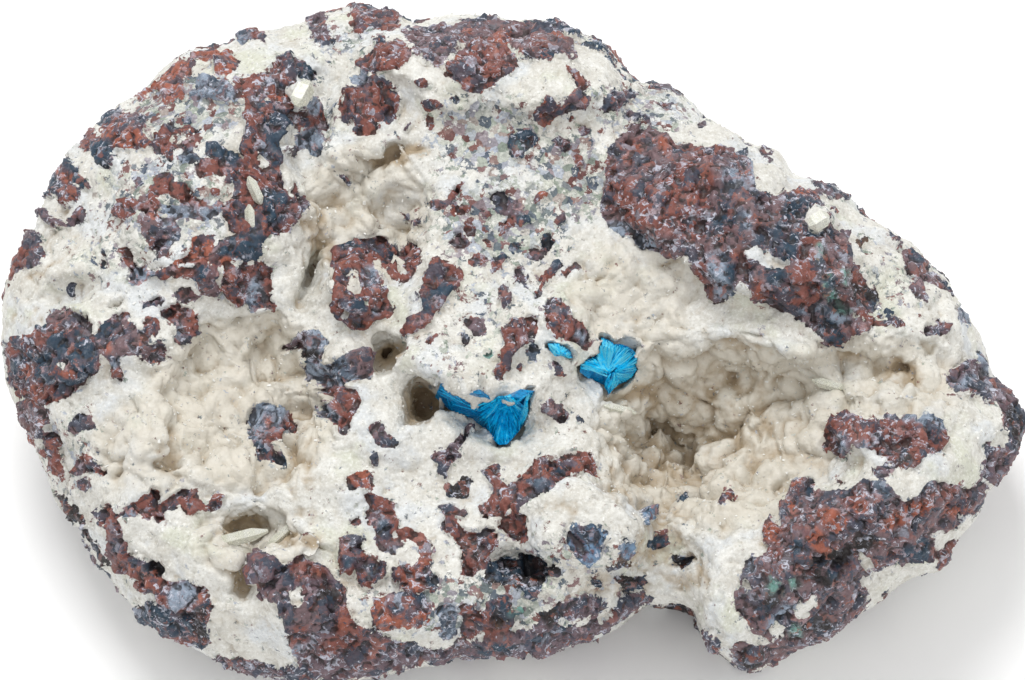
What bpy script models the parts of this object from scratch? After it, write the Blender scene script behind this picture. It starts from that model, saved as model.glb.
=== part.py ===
"""A cavansite specimen: a lump of red basalt breccia cemented by cream zeolite, with druse in its
hollows, three sprays of blue cavansite, pale stilbite blades and two stout heulandite crystals.

Metres, +Z up. The lump lies on a flat break, its long side along X and its face leaning to the front (-Y).
"""

import math

import bmesh
import bpy
from mathutils import Matrix, Vector, noise

# Driving dimensions, in metres
LENGTH = 0.090
DOME_HEIGHT = 0.0115
BACK_DEPTH = 0.0335
BACK_GAIN = 0.46
GAP = 0.0003

# The middle of the box's underside, from the pole of the face before it is laid down
ORIGIN = (-0.01100, 0.0065, -0.0125)

# The face grid: x to the right and y down from its upper left corner, GRID_LENGTH units to LENGTH
GRID_LENGTH = 1018
UNIT = LENGTH / GRID_LENGTH
MM = 0.001
POLE = (640, 400)

# The face leans this far from level, and its rim drops back behind that plane
FACE_LEAN = math.radians(30)
RIM_SLOPE = 0.32

# How far in from the rim the front and the back stop curving, at the lower and the upper side
FRONT_ROUND = (0.0125, 0.0085)
BACK_ROUND = (0.0080, 0.0150)

# The grid y where the upper side's rounding starts to give way to the lower's, and how far that takes
UPPER_END = 80
ROUND_CHANGE = 540

# The rim seen square to the face, on the face grid, clockwise from the left end
RIM = (
    (4, 358), (9, 300), (9, 268), (26, 235), (44, 198), (66, 156), (86, 138), (106, 111), (128, 103),
    (184, 56), (222, 44), (248, 28), (274, 33), (300, 27), (318, 14), (352, 3), (396, 8), (406, 21),
    (446, 16), (500, 15), (556, 19), (580, 34), (602, 42), (622, 64), (642, 83), (672, 86), (690, 110),
    (717, 132), (744, 138), (768, 152), (790, 178), (816, 179), (850, 199), (864, 220), (890, 232),
    (910, 248), (944, 283), (957, 305), (967, 308), (976, 336), (990, 375), (1012, 390), (1021, 424),
    (1014, 455), (996, 482), (983, 490), (966, 525), (934, 567), (908, 573), (886, 591), (860, 611),
    (828, 630), (792, 651), (752, 667), (724, 656), (703, 640), (692, 605), (662, 601), (646, 596),
    (626, 618), (594, 632), (560, 645), (524, 652), (450, 656), (392, 672), (300, 677), (244, 665),
    (200, 649), (146, 616), (112, 580), (78, 527), (45, 468), (20, 410),
)

# Forms of the face: x, y, half length, half width, turn in degrees, height in mm and level share
HOLLOWS = {
    "vug": (715, 432, 138, 104, 0, -7.0, 0.45),
    "vug_depth": (664, 452, 60, 68, 10, -6.0, 0.40),
    "vug_trough": (856, 376, 128, 44, 6, -3.6, 0.30),
    "vug_outlet": (676, 562, 42, 56, 15, -4.6, 0.20),
    "upper_basin": (366, 222, 76, 84, 0, -4.2, 0.40),
    "upper_slot": (388, 162, 50, 13, 18, -3.4, 0.40),
    "upper_cleft": (312, 274, 13, 34, -12, -6.0, 0.45),
    "upper_valley": (322, 110, 26, 110, -14, -2.4, 0.20),
    "left_basin": (250, 396, 112, 96, 0, -4.2, 0.50),
    "left_gap": (172, 448, 14, 36, 0, -2.6, 0.30),
    "left_shelf": (72, 296, 66, 20, 14, -2.0, 0.30),
    "blade_hollow": (252, 528, 44, 27, 0, -5.5, 0.40),
    "blade_hollow_low": (243, 580, 20, 22, 0, -3.6, 0.40),
    "hole_by_clast": (390, 352, 17, 13, 40, -5.5, 0.45),
    "hole_by_spray": (424, 402, 15, 27, 0, -5.5, 0.45),
    "spray_pocket": (482, 412, 54, 25, -12, -3.6, 0.45),
    "right_spray_pocket": (614, 372, 36, 30, 0, -2.6, 0.40),
    "trough_pit": (903, 374, 17, 10, 0, -2.6, 0.30),
    "low_cave": (520, 560, 46, 20, 0, -3.4, 0.40),
    "low_pit": (158, 568, 14, 10, 0, -2.6, 0.40),
    "prow_shade": (820, 562, 52, 22, 30, -1.8, 0.30),
    "eye_centre": (586, 538, 27, 20, 0, -1.8, 0.40),
}
RISES = {
    "central_mass": (492, 350, 112, 84, 0, 2.0, 0.50),
    "eye_lobe": (588, 518, 66, 56, 0, 3.0, 0.55),
    "prow": (868, 520, 158, 62, 32, 4.6, 0.50),
    "right_slab": (742, 226, 146, 74, -24, 4.2, 0.68),
    "top_dome": (482, 68, 44, 30, 0, 1.8, 0.30),
    "top_ridge": (496, 74, 150, 52, -4, 2.8, 0.60),
    "left_plateau": (212, 182, 104, 116, 0, 2.8, 0.70),
    "left_boulder": (58, 362, 66, 42, 8, 2.2, 0.45),
    "left_rim_band": (150, 342, 52, 28, 10, 1.4, 0.50),
    "right_knob": (1004, 432, 24, 52, 0, 1.6, 0.40),
    "low_ridge": (538, 486, 66, 17, 30, 1.6, 0.55),
    "low_left_band": (128, 530, 22, 62, -24, 1.4, 0.50),
    "low_left_corner": (176, 612, 52, 28, -32, 1.6, 0.50),
    "round_clast": (363, 284, 38, 42, 0, 1.9, 0.70),
    "block_clast": (880, 436, 62, 27, 0, 2.2, 0.70),
    "tongue_clast": (516, 344, 15, 32, -14, 1.1, 0.60),
    "bent_clast": (560, 322, 14, 30, 32, 1.1, 0.60),
    "hook_clast": (432, 294, 19, 38, -30, 1.4, 0.55),
    "pale_clast": (340, 364, 40, 24, -10, 1.2, 0.60),
    "grey_clast": (275, 430, 22, 34, 0, 1.5, 0.60),
    "lip": (460, 366, 66, 26, -6, 1.5, 0.50),
    "red_dome_low": (405, 612, 44, 26, 0, 2.0, 0.40),
    "low_bulge": (300, 610, 46, 44, 0, 1.2, 0.40),
    "low_left_pillow": (226, 628, 34, 28, 0, 1.2, 0.50),
}

# Flat breaks that trim the hidden side: bearing from the pole and dip in degrees, and how far in mm
# below the rim each one starts
BREAKS = (
    (0, 32, 9), (38, 46, 10), (68, 30, 10), (98, 46, 15), (125, 36, 10), (152, 44, 12),
    (181, 34, 9), (206, 50, 7), (236, 40, 9), (262, 54, 8), (292, 48, 7), (330, 42, 9),
)

BREAK_CLEARANCE = 0.0008

# The warp that keeps forms from being true ellipses, and the roughness over them
WARP_REACH = 9.0
WARP_SCALE = 46.0
LUMP_SIZE = 0.0105
LUMP_HEIGHT = 0.0016
KNOB_SIZE = 0.0056
KNOB_HEIGHT = 0.0014
BACK_ROUGHNESS = 1.5
RIM_ROUGHNESS = 0.0007
RIM_CHIPS = 9.0
CELL_EDGE = 0.85
OFF_RIM_RATE = 3
RELIEF_START = 0.5
WARP_SHIFT = (17.0, 5.0, 3.0)

BODY_SUBDIVISIONS = 7
BODY_SHARE_KEPT = 0.064

# Crusts of druse in the hollows, each over an outline on the face grid that its middle sees all of
CRUST_DEPTH = 0.0011
CRUST_LIFT = 0.0002
CRUST_REACH = 7
SOCKET_REACH = 10
REACH_STEPS = 6
SOCKET_CLEARANCE = 0.0064
EDGE_FADE = 5
DRUSE_SIZE = 0.0042
DRUSE_HEIGHT = 0.0016
CRUSTS = {
    "right_vug_druse": (
        (740, 395), 36, 9,
        (
            (826, 408), (880, 405), (940, 401), (974, 389), (946, 362), (905, 350), (850, 347), (790, 341),
            (742, 322), (702, 318), (668, 336), (652, 362), (650, 392), (622, 424), (607, 456), (615, 500),
            (642, 545), (664, 574), (686, 578), (706, 556), (736, 512), (766, 491), (792, 468), (812, 442),
        ),
    ),
    "upper_basin_druse": (
        (366, 214), 22, 5,
        (
            (430, 150), (388, 146), (348, 148), (318, 176), (304, 206), (310, 244), (330, 246), (352, 238),
            (380, 240), (402, 236), (420, 214), (402, 196), (424, 176),
        ),
    ),
    "left_basin_druse": (
        (232, 396), 24, 6,
        (
            (226, 316), (196, 352), (166, 372), (130, 392), (116, 424), (132, 464), (170, 482), (214, 482),
            (252, 480), (262, 462), (246, 424), (254, 400), (284, 392), (288, 352), (262, 330),
        ),
    ),
    "blade_hollow_druse": (
        (256, 540), 22, 4,
        (
            (262, 506), (228, 506), (206, 518), (194, 544), (214, 572), (236, 594), (262, 588), (274, 560),
            (306, 552), (334, 546), (338, 532), (304, 524), (286, 512),
        ),
    ),
}

# Sprays of cavansite, the same way: middle, points round, rings and outline
SPRAYS = {
    "cavansite_left": (
        (495, 411), 26, 3, 1.5,
        (
            (431, 388), (438, 382), (451, 386), (466, 398), (480, 404), (493, 398), (507, 396), (519, 399),
            (530, 386), (535, 391), (529, 406), (525, 420), (515, 434), (503, 446), (492, 437), (483, 425),
            (470, 415), (454, 412), (439, 401),
        ),
    ),
    "cavansite_right": (
        (608, 364), 24, 3, 1.5,
        (
            (603, 333), (610, 345), (624, 345), (636, 354), (638, 366), (630, 378), (616, 384), (608, 394),
            (602, 382), (588, 378), (577, 369), (584, 360), (594, 358), (598, 348),
        ),
    ),
    "cavansite_sliver": (
        (558, 350), 12, 2, 0.5,
        ((545, 345), (553, 343), (564, 347), (573, 356), (571, 361), (562, 354), (551, 351)),
    ),
}
NEEDLE_COUNT = 9
NEEDLE_HEIGHT = 0.0005

# Crystals: x, y, its middle's height over the face in mm, half length, half width and half thickness
# in mm, turn in degrees across the face, then its tip's lean out of the face and its roll
LATHS = {
    "blade_low_left": ("blade_hollow_druse", 236, 537, 0.1, 2.9, 0.75, 0.32, 14, 4, 18),
    "blade_low_right": ("blade_hollow_druse", 285, 532, 0.2, 1.9, 0.60, 0.30, 40, 8, 30),
    "blade_by_vug": ("breccia_matrix", 619, 409, 0.2, 1.5, 0.45, 0.26, -22, 10, 20),
    "blade_in_trough": ("right_vug_druse", 828, 385, 0.3, 1.7, 0.50, 0.30, -16, 6, 20),
    "blades_upper_left": ("breccia_matrix", 257, 192, 0.0, 1.4, 0.55, 0.30, -66, 8, 20),
    "blades_lower_left": ("breccia_matrix", 252, 219, 0.0, 1.2, 0.50, 0.30, -88, 8, 20),
}

# Stout crystals: x, y, height over the face and half size in mm, then turn and lean in degrees
RHOMBS = {
    "pale_rhomb_upper": (304, 96, 0.4, 1.25, 62, 38),
    "pale_rhomb_right": (816, 222, 0.3, 1.05, 20, 30),
}
LATH_TAPER = 0.72
RHOMB_STRETCH = 1.25
RHOMB_CORNER = 54.7
RHOMB_SHARE = 1.3

COLOURS = {
    "basalt": ((0.26, 0.12, 0.09, 1), 0.75),
    "druse": ((0.74, 0.68, 0.56, 1), 0.45),
    "cavansite": ((0.0, 0.30, 0.62, 1), 0.40),
    "stilbite": ((0.72, 0.72, 0.66, 1), 0.30),
    "heulandite": ((0.78, 0.75, 0.62, 1), 0.30),
}


def clear_scene():
    """Start from an empty scene."""
    for obj in list(bpy.data.objects):
        bpy.data.objects.remove(obj)


def new_collection(name):
    """A collection linked to the scene."""
    made = bpy.data.collections.new(name)
    bpy.context.scene.collection.children.link(made)
    return made


def new_material(name):
    """A Principled material in one of the specimen's colours."""
    colour, roughness = COLOURS[name]
    made = bpy.data.materials.new(name)
    made.use_nodes = True
    shader = made.node_tree.nodes["Principled BSDF"]
    shader.inputs["Base Color"].default_value = colour
    shader.inputs["Roughness"].default_value = roughness
    shader.inputs["Metallic"].default_value = 0.0
    return made


def lay(x, y, height):
    """The point of the laid-down specimen at grid x, y and that height in metres off the face plane."""
    across = (x - POLE[0]) * UNIT
    up = (POLE[1] - y) * UNIT
    lean_sin, lean_cos = math.sin(FACE_LEAN), math.cos(FACE_LEAN)
    back = up * lean_cos - height * lean_sin
    rise = up * lean_sin + height * lean_cos
    return Vector((across, back, rise)) - Vector(ORIGIN)


def turned(across, up, out):
    """A direction given along the face, up it and out of it, as the specimen lies."""
    c, s = math.cos(FACE_LEAN), math.sin(FACE_LEAN)
    return Vector((across, up * c - out * s, up * s + out * c))


FACE_OUT = turned(0, 0, 1)


def rim_table():
    """The rim's bearings from the pole, rising, with its distance in metres at each."""
    rows = []
    for x, y in RIM:
        across, up = (x - POLE[0]) * UNIT, (POLE[1] - y) * UNIT
        rows.append((math.atan2(up, across) % math.tau, math.hypot(across, up)))
    return sorted(rows)


RIM_ROWS = rim_table()


def between(rows, bearing):
    """The distance that way, going evenly from each row of bearing and distance to the next."""
    bearing %= math.tau
    after = next((i for i, row in enumerate(rows) if row[0] >= bearing), 0)
    (b0, r0), (b1, r1) = rows[after - 1], rows[after]
    span = (b1 - b0) % math.tau or math.tau
    return r0 + (r1 - r0) * (((bearing - b0) % math.tau) / span)


def rim_distance(bearing):
    """How far the rim lies from the pole that way, with its chips."""
    around = Vector((math.cos(bearing), math.sin(bearing), 0.0))
    return between(RIM_ROWS, bearing) + RIM_ROUGHNESS * noise.noise(around * RIM_CHIPS)


def smooth(share):
    """0 to 1 with a level start and end."""
    share = min(1.0, max(0.0, share))
    return share * share * (3 - 2 * share)


def form_height(form, x, y):
    """The height in metres that one form adds at grid x, y."""
    centre_x, centre_y, half_length, half_width, turn, height, level = form
    dx, dy = x - centre_x, centre_y - y
    c, s = math.cos(math.radians(turn)), math.sin(math.radians(turn))
    reach = math.hypot((dx * c + dy * s) / half_length, (dy * c - dx * s) / half_width)
    if reach >= 1.0:
        return 0.0
    return height * MM * (1 - smooth((reach - level) / (1 - level)))


def relief(x, y):
    """The height in metres of the face's hollows and rises at grid x, y."""
    at = Vector((x / WARP_SCALE, y / WARP_SCALE, 0.0))
    x += WARP_REACH * noise.noise(at)
    y += WARP_REACH * noise.noise(at + Vector(WARP_SHIFT))
    forms = (*HOLLOWS.values(), *RISES.values())
    return sum(form_height(form, x, y) for form in forms)


def rim_height(y):
    """The height of the rim's own surface, which falls back towards the upper side."""
    return -RIM_SLOPE * (POLE[1] - y) * UNIT


def break_planes():
    """Each break's outward direction and its distance from the origin."""
    planes = []
    for bearing, dip, start in BREAKS:
        b, d = math.radians(bearing), math.radians(dip)
        reach = rim_distance(b) / UNIT
        x, y = POLE[0] + reach * math.cos(b), POLE[1] - reach * math.sin(b)
        normal = turned(math.cos(b) * math.cos(d), math.sin(b) * math.cos(d), -math.sin(d))
        distance = lay(x, y, rim_height(y) - start * MM).dot(normal)
        furthest = max(lay(rx, ry, rim_height(ry)).dot(normal) for rx, ry in RIM)
        planes.append((normal, max(distance, furthest + BREAK_CLEARANCE)))
    return planes


BREAK_PLANES = break_planes()


def edge_curve(inset, width):
    """A quarter round: 0 at the rim and 1 from this inset on."""
    share = min(1.0, max(0.0, inset / width))
    return math.sqrt(1 - (1 - share) ** 2)


def lower_share(y):
    """1 at the face's lower side and 0 at its upper side."""
    return smooth((y - UPPER_END) / ROUND_CHANGE)


def inset_at(x, y):
    """The distance in metres from grid x, y out to the rim, along the bearing from the pole."""
    across, up = (x - POLE[0]) * UNIT, (POLE[1] - y) * UNIT
    return rim_distance(math.atan2(up, across)) - math.hypot(across, up)


def front_height(x, y):
    """The face's height in metres at grid x, y, before its roughness."""
    inset = inset_at(x, y)
    low = lower_share(y)
    width = FRONT_ROUND[0] * low + FRONT_ROUND[1] * (1 - low)
    edge = edge_curve(inset, width)
    return rim_height(y) + edge * DOME_HEIGHT + smooth(inset / (RELIEF_START * width)) * relief(x, y)


def back_height(x, y):
    """The hidden side's height in metres at grid x, y."""
    low = lower_share(y)
    width = BACK_ROUND[0] * low + BACK_ROUND[1] * (1 - low)
    depth = BACK_DEPTH + BACK_GAIN * (POLE[1] - y) * UNIT
    return rim_height(y) - edge_curve(inset_at(x, y), width) * depth


def cell_bump(point, size):
    """1 in the middle of each rounded cell of a crowd this size across, falling to 0 between cells."""
    distances, _ = noise.voronoi(point / size)
    return max(0.0, 1 - (distances[0] / CELL_EDGE) ** 2)


def roughened(point):
    """How far the rock's lumps and knobs stand out at this point."""
    lump = noise.noise(point / LUMP_SIZE)
    return lump * LUMP_HEIGHT + (cell_bump(point, KNOB_SIZE) - 0.5) * KNOB_HEIGHT


def trim_to_breaks(point):
    """The point pulled in to each flat break that it lies beyond."""
    for normal, distance in BREAK_PLANES:
        beyond = point.dot(normal) - distance
        if beyond > 0:
            point = point - normal * beyond
    return point


def body_point(direction):
    """Where a unit sphere's point goes on the lump. The sphere's +Z side is the face."""
    spread = math.hypot(direction.x, direction.y)
    bearing = math.atan2(direction.y, direction.x)
    reach = rim_distance(bearing) * spread
    x = POLE[0] + reach * math.cos(bearing) / UNIT
    y = POLE[1] - reach * math.sin(bearing) / UNIT
    off_rim = smooth(abs(direction.z) * OFF_RIM_RATE)
    outward = turned(*direction)
    if direction.z >= 0:
        point = lay(x, y, front_height(x, y))
        return point + outward * roughened(point) * off_rim
    point = trim_to_breaks(lay(x, y, back_height(x, y)))
    return point + outward * roughened(point) * BACK_ROUGHNESS * off_rim


def face_height(x, y):
    """The height of the finished face at grid x, y, well inside its rim."""
    height = front_height(x, y)
    return height + roughened(lay(x, y, height))


def new_object(name, collection, colour, fill):
    """An object in that collection whose mesh the fill function makes in a bmesh."""
    mesh = bpy.data.meshes.new(name)
    bm = bmesh.new()
    fill(bm)
    bmesh.ops.recalc_face_normals(bm, faces=bm.faces)
    if bm.calc_volume(signed=True) < 0:
        bmesh.ops.reverse_faces(bm, faces=bm.faces)
    bm.to_mesh(mesh)
    bm.free()
    obj = bpy.data.objects.new(name, mesh)
    collection.objects.link(obj)
    if colour:
        mesh.materials.append(colour)
    return obj


def as_helper(obj):
    """Marks an object that shapes another and is no part itself."""
    obj.hide_render = True
    obj.display_type = "WIRE"
    return obj


def combine(obj, other, operation):
    """Cuts the other object out of this one, or joins it on."""
    made = obj.modifiers.new(other.name, "BOOLEAN")
    made.operation = operation
    made.solver = "EXACT"
    made.object = other


def make_lump(collection, material):
    """The rock, shaped from a fine sphere and thinned to the faces that its forms need."""

    def fill(bm):
        bmesh.ops.create_icosphere(bm, subdivisions=BODY_SUBDIVISIONS, radius=1.0)
        for vertex in bm.verts:
            vertex.co = body_point(vertex.co.normalized())

    obj = new_object("breccia_matrix", collection, material, fill)
    thin = obj.modifiers.new("thin", "DECIMATE")
    thin.ratio = BODY_SHARE_KEPT
    return obj


def make_base_cutter(collection):
    """All below the level that the lump rests on."""

    def fill(bm):
        size = 2 * LENGTH
        bmesh.ops.create_cube(bm, size=size, matrix=Matrix.Translation((0, 0, -size / 2)))

    return as_helper(new_object("base_cutter", collection, None, fill))


def outline_at(centre, outline, bearing):
    """How far in grid units an outline lies from its middle that way."""
    rows = sorted(
        (math.atan2(centre[1] - y, x - centre[0]) % math.tau, math.hypot(x - centre[0], centre[1] - y))
        for x, y in outline
    )
    return between(rows, bearing)


def lowest_near(x, y, reach):
    """The lowest height of the face within this many grid units of x, y."""
    angles = [math.tau * i / REACH_STEPS for i in range(REACH_STEPS)]
    steps = [(reach * math.cos(a), reach * math.sin(a)) for a in angles]
    return min(face_height(x + dx, y + dy) for dx, dy in [(0, 0), *steps])


def fill_patch(bm, patch, margin, top, bottom):
    """A closed sheet over the patch's outline, between its top and bottom, with a margin this wide."""
    centre, count, rings, outline = patch
    low_rings = 1 + rings // 4
    bearings = [math.tau * i / count for i in range(count)]
    reaches = [outline_at(centre, outline, b) for b in bearings]

    def ring(share, height, beyond=0.0):
        made = []
        for bearing, reach in zip(bearings, reaches):
            x = centre[0] + (reach * share + beyond) * math.cos(bearing)
            y = centre[1] - (reach * share + beyond) * math.sin(bearing)
            made.append(bm.verts.new(lay(x, y, height(x, y, share, bearing))))
        return made

    upper = [ring((i + 1) / rings, top) for i in range(rings)]
    edge = [ring(1.0, height, margin / UNIT) for height in (top, bottom)] if margin else []
    lower = [ring((i + 1) / low_rings, bottom) for i in reversed(range(low_rings))]
    loops = upper + edge + lower
    for inner, outer in zip(loops, loops[1:]):
        for i in range(count):
            j = (i + 1) % count
            bm.faces.new((inner[i], inner[j], outer[j]))
            bm.faces.new((inner[i], outer[j], outer[i]))
    for loop, height in ((loops[0], top), (loops[-1], bottom)):
        tip = bm.verts.new(lay(*centre, height(*centre, 0.0, 0.0)))
        for i in range(count):
            bm.faces.new((tip, loop[(i + 1) % count], loop[i]))


def crust_top(x, y, share, bearing):
    """The rounded tops of the druse, level with the rock round its edge."""
    point = lay(x, y, face_height(x, y))
    bump = cell_bump(point, DRUSE_SIZE) * DRUSE_HEIGHT * smooth((1 - share) * EDGE_FADE)
    return face_height(x, y) + CRUST_LIFT + bump


def crust_bottom(x, y, share, bearing):
    """The druse's underside, clear of the steepest of the rock's walls."""
    return lowest_near(x, y, CRUST_REACH) - CRUST_DEPTH


def socket_bottom(x, y, share, bearing):
    """The rock under the druse, a gap below it."""
    lowest = min(lowest_near(x, y, CRUST_REACH), lowest_near(x, y, SOCKET_REACH))
    return lowest - CRUST_DEPTH - GAP


def socket_top(x, y, share, bearing):
    """Clear over anything that stands on the rock there."""
    return face_height(x, y) + SOCKET_CLEARANCE


def set_patch(name, patch, top, bottom, collections, material, lump):
    """A patch in its socket in the lump."""
    parts, helpers = collections
    made = new_object(name, parts, material, lambda bm: fill_patch(bm, patch, 0.0, top, bottom))

    def fill_socket(bm):
        fill_patch(bm, patch, GAP, socket_top, socket_bottom)

    socket = as_helper(new_object(name + "_socket", helpers, None, fill_socket))
    combine(lump, socket, "DIFFERENCE")
    return made


def spray_top(height):
    """The top of a spray: a low dome of ridges that fan out from its middle."""

    def top(x, y, share, bearing):
        dome = height * MM * (1 - share**2)
        ridge = abs(math.sin(NEEDLE_COUNT * bearing)) * NEEDLE_HEIGHT * math.sin(math.pi * share)
        return face_height(x, y) + dome + ridge

    return top


def crystal_matrix(x, y, over, turn, lean, roll):
    """Where a crystal goes: its length along local Z, laid across the face and turned."""
    place = Matrix.Translation(lay(x, y, face_height(x, y) + over * MM))
    face = Matrix((turned(1, 0, 0), turned(0, 1, 0), turned(0, 0, 1))).transposed().to_4x4()
    aim = Matrix.Rotation(math.radians(turn), 4, "Z") @ Matrix.Rotation(math.radians(90 - lean), 4, "Y")
    return place @ face @ aim @ Matrix.Rotation(math.radians(roll), 4, "Z")


def make_lath(name, collection, material, grow=0.0):
    """A flat six-sided blade that narrows to its tip, grown all round by so much."""
    _, x, y, over, length, width, thickness, turn, lean, roll = LATHS[name]
    grow_mm = grow / MM
    half, thin = width + grow_mm, (thickness + grow_mm) / (width + grow_mm)

    def fill(bm):
        place = crystal_matrix(x, y, over, turn, lean, roll) @ Matrix.Diagonal((thin, 1, 1, 1))
        bmesh.ops.create_cone(
            bm, cap_ends=True, segments=6, radius1=half * MM, radius2=half * LATH_TAPER * MM,
            depth=2 * (length + grow_mm) * MM, matrix=place,
        )

    label = name + "_space" if grow else name
    return as_helper(new_object(label, collection, material, fill))


def make_rhomb(name, collection, material):
    """A stout rhombohedron, part sunk in what it grew on."""
    x, y, over, half, turn, lean = RHOMBS[name]

    def fill(bm):
        corner_up = Matrix.Rotation(math.radians(RHOMB_CORNER), 4, Vector((-1, 1, 0)))
        stretch = Matrix.Diagonal((1, 1, RHOMB_STRETCH, 1))
        place = crystal_matrix(x, y, over, turn, lean, 0)
        bmesh.ops.create_cube(bm, size=2 * half * MM / RHOMB_SHARE, matrix=place @ stretch @ corner_up)

    return as_helper(new_object(name, collection, material, fill))


def main():
    """Builds the specimen."""
    clear_scene()
    parts = new_collection("cavansite_specimen")
    helpers = new_collection("helpers")
    materials = {name: new_material(name) for name in COLOURS}
    lump = make_lump(parts, materials["basalt"])
    combine(lump, make_base_cutter(helpers), "DIFFERENCE")
    hosts = {"breccia_matrix": lump}
    for name, patch in CRUSTS.items():
        hosts[name] = set_patch(
            name, patch, crust_top, crust_bottom, (parts, helpers), materials["druse"], lump
        )
    for name, (centre, count, rings, height, outline) in SPRAYS.items():
        patch = (centre, count, rings, outline)
        set_patch(
            name, patch, spray_top(height), crust_bottom, (parts, helpers), materials["cavansite"], lump
        )
    for name, row in LATHS.items():
        host = hosts[row[0]]
        combine(host, make_lath(name, helpers, materials["stilbite"]), "UNION")
        if host is not lump:
            combine(lump, make_lath(name, helpers, None, GAP), "DIFFERENCE")
    for name in RHOMBS:
        combine(lump, make_rhomb(name, helpers, materials["heulandite"]), "UNION")


main()
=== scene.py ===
"""The look of the cavansite specimen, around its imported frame.

The frame's lump and druse crusts become one fine surface: red and blue-black basalt clasts stand out of
cream zeolite, whose hollows are lined with rounded lumps of sugary crystals. Loose-set crystals, blades
and the blue sprays are grown on it. Metres, +Z up; the face grid of the outlines is in photo pixels.
"""

import math

import bpy
import numpy as np
from mathutils import Matrix, Vector
from mathutils.bvhtree import BVHTree


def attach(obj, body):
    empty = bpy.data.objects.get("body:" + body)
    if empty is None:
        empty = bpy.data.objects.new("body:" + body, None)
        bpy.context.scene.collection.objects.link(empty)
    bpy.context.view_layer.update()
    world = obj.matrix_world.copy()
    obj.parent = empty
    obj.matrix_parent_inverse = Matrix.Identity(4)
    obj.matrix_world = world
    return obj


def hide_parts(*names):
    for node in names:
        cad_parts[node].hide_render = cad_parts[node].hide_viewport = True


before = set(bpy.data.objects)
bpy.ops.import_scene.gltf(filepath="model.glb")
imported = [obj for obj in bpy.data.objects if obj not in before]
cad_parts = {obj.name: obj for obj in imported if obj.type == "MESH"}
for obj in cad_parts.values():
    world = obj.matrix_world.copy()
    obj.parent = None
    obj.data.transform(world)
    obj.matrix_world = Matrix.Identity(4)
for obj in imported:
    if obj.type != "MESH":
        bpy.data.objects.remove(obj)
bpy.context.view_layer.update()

# The face grid, laid on the specimen as its frame has it: x to the right and y down, in pixels
MM = 0.001
PHOTO_SIZE = (1025, 680)
UNIT = 0.090 / 1018
POLE = (640, 400)
ORIGIN = (-0.01100, 0.0065, -0.0125)
FACE_LEAN = math.radians(30)

# The frame's nodes
BODY = "breccia_matrix"
CRUSTS = ("right_vug_druse", "upper_basin_druse", "left_basin_druse", "blade_hollow_druse")
SPRAYS = ("cavansite_left", "cavansite_right", "cavansite_sliver")

# What is left of a crust and a spray where the surface takes them in: how far each is swollen and
# how far it is sunk into the face, in mm
CRUST_BED = (0.35, 0.60)
SPRAY_BED = (0.35, 1.10)
CRUST_INNER = (-0.7, -0.1)

# How fine the surface is, how far it faces away where it is still split finer, and how often its
# points are drawn together: to smooth the frame's facets, after the split, and to find which way it
# faces
VOXEL = 0.42 * MM
LEAST_FINE_FACING = -0.12
SMOOTHINGS = 6
SPLIT_SMOOTHINGS = 2
FACING_SMOOTHINGS = 160
CAVITY_SMOOTHINGS = 60
CREASE_SMOOTHINGS = 12
PIECES = 4

# Tones of the clasts as sRGB
TONES = {
    "red": (136, 80, 70),
    "orange": (164, 92, 70),
    "purple": (112, 92, 100),
    "blue": (40, 66, 86),
    "mottled": (124, 100, 104),
    "pale": (152, 166, 184),
    "steel": (112, 142, 172),
    "teal": (120, 168, 158),
    # Basalt's darkest tone, partly painted shade where shadow lies deep in crevices and pockets
    "dark": (34, 27, 26),
    "brown": (92, 68, 50),
}
CREAM = "cream"
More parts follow.
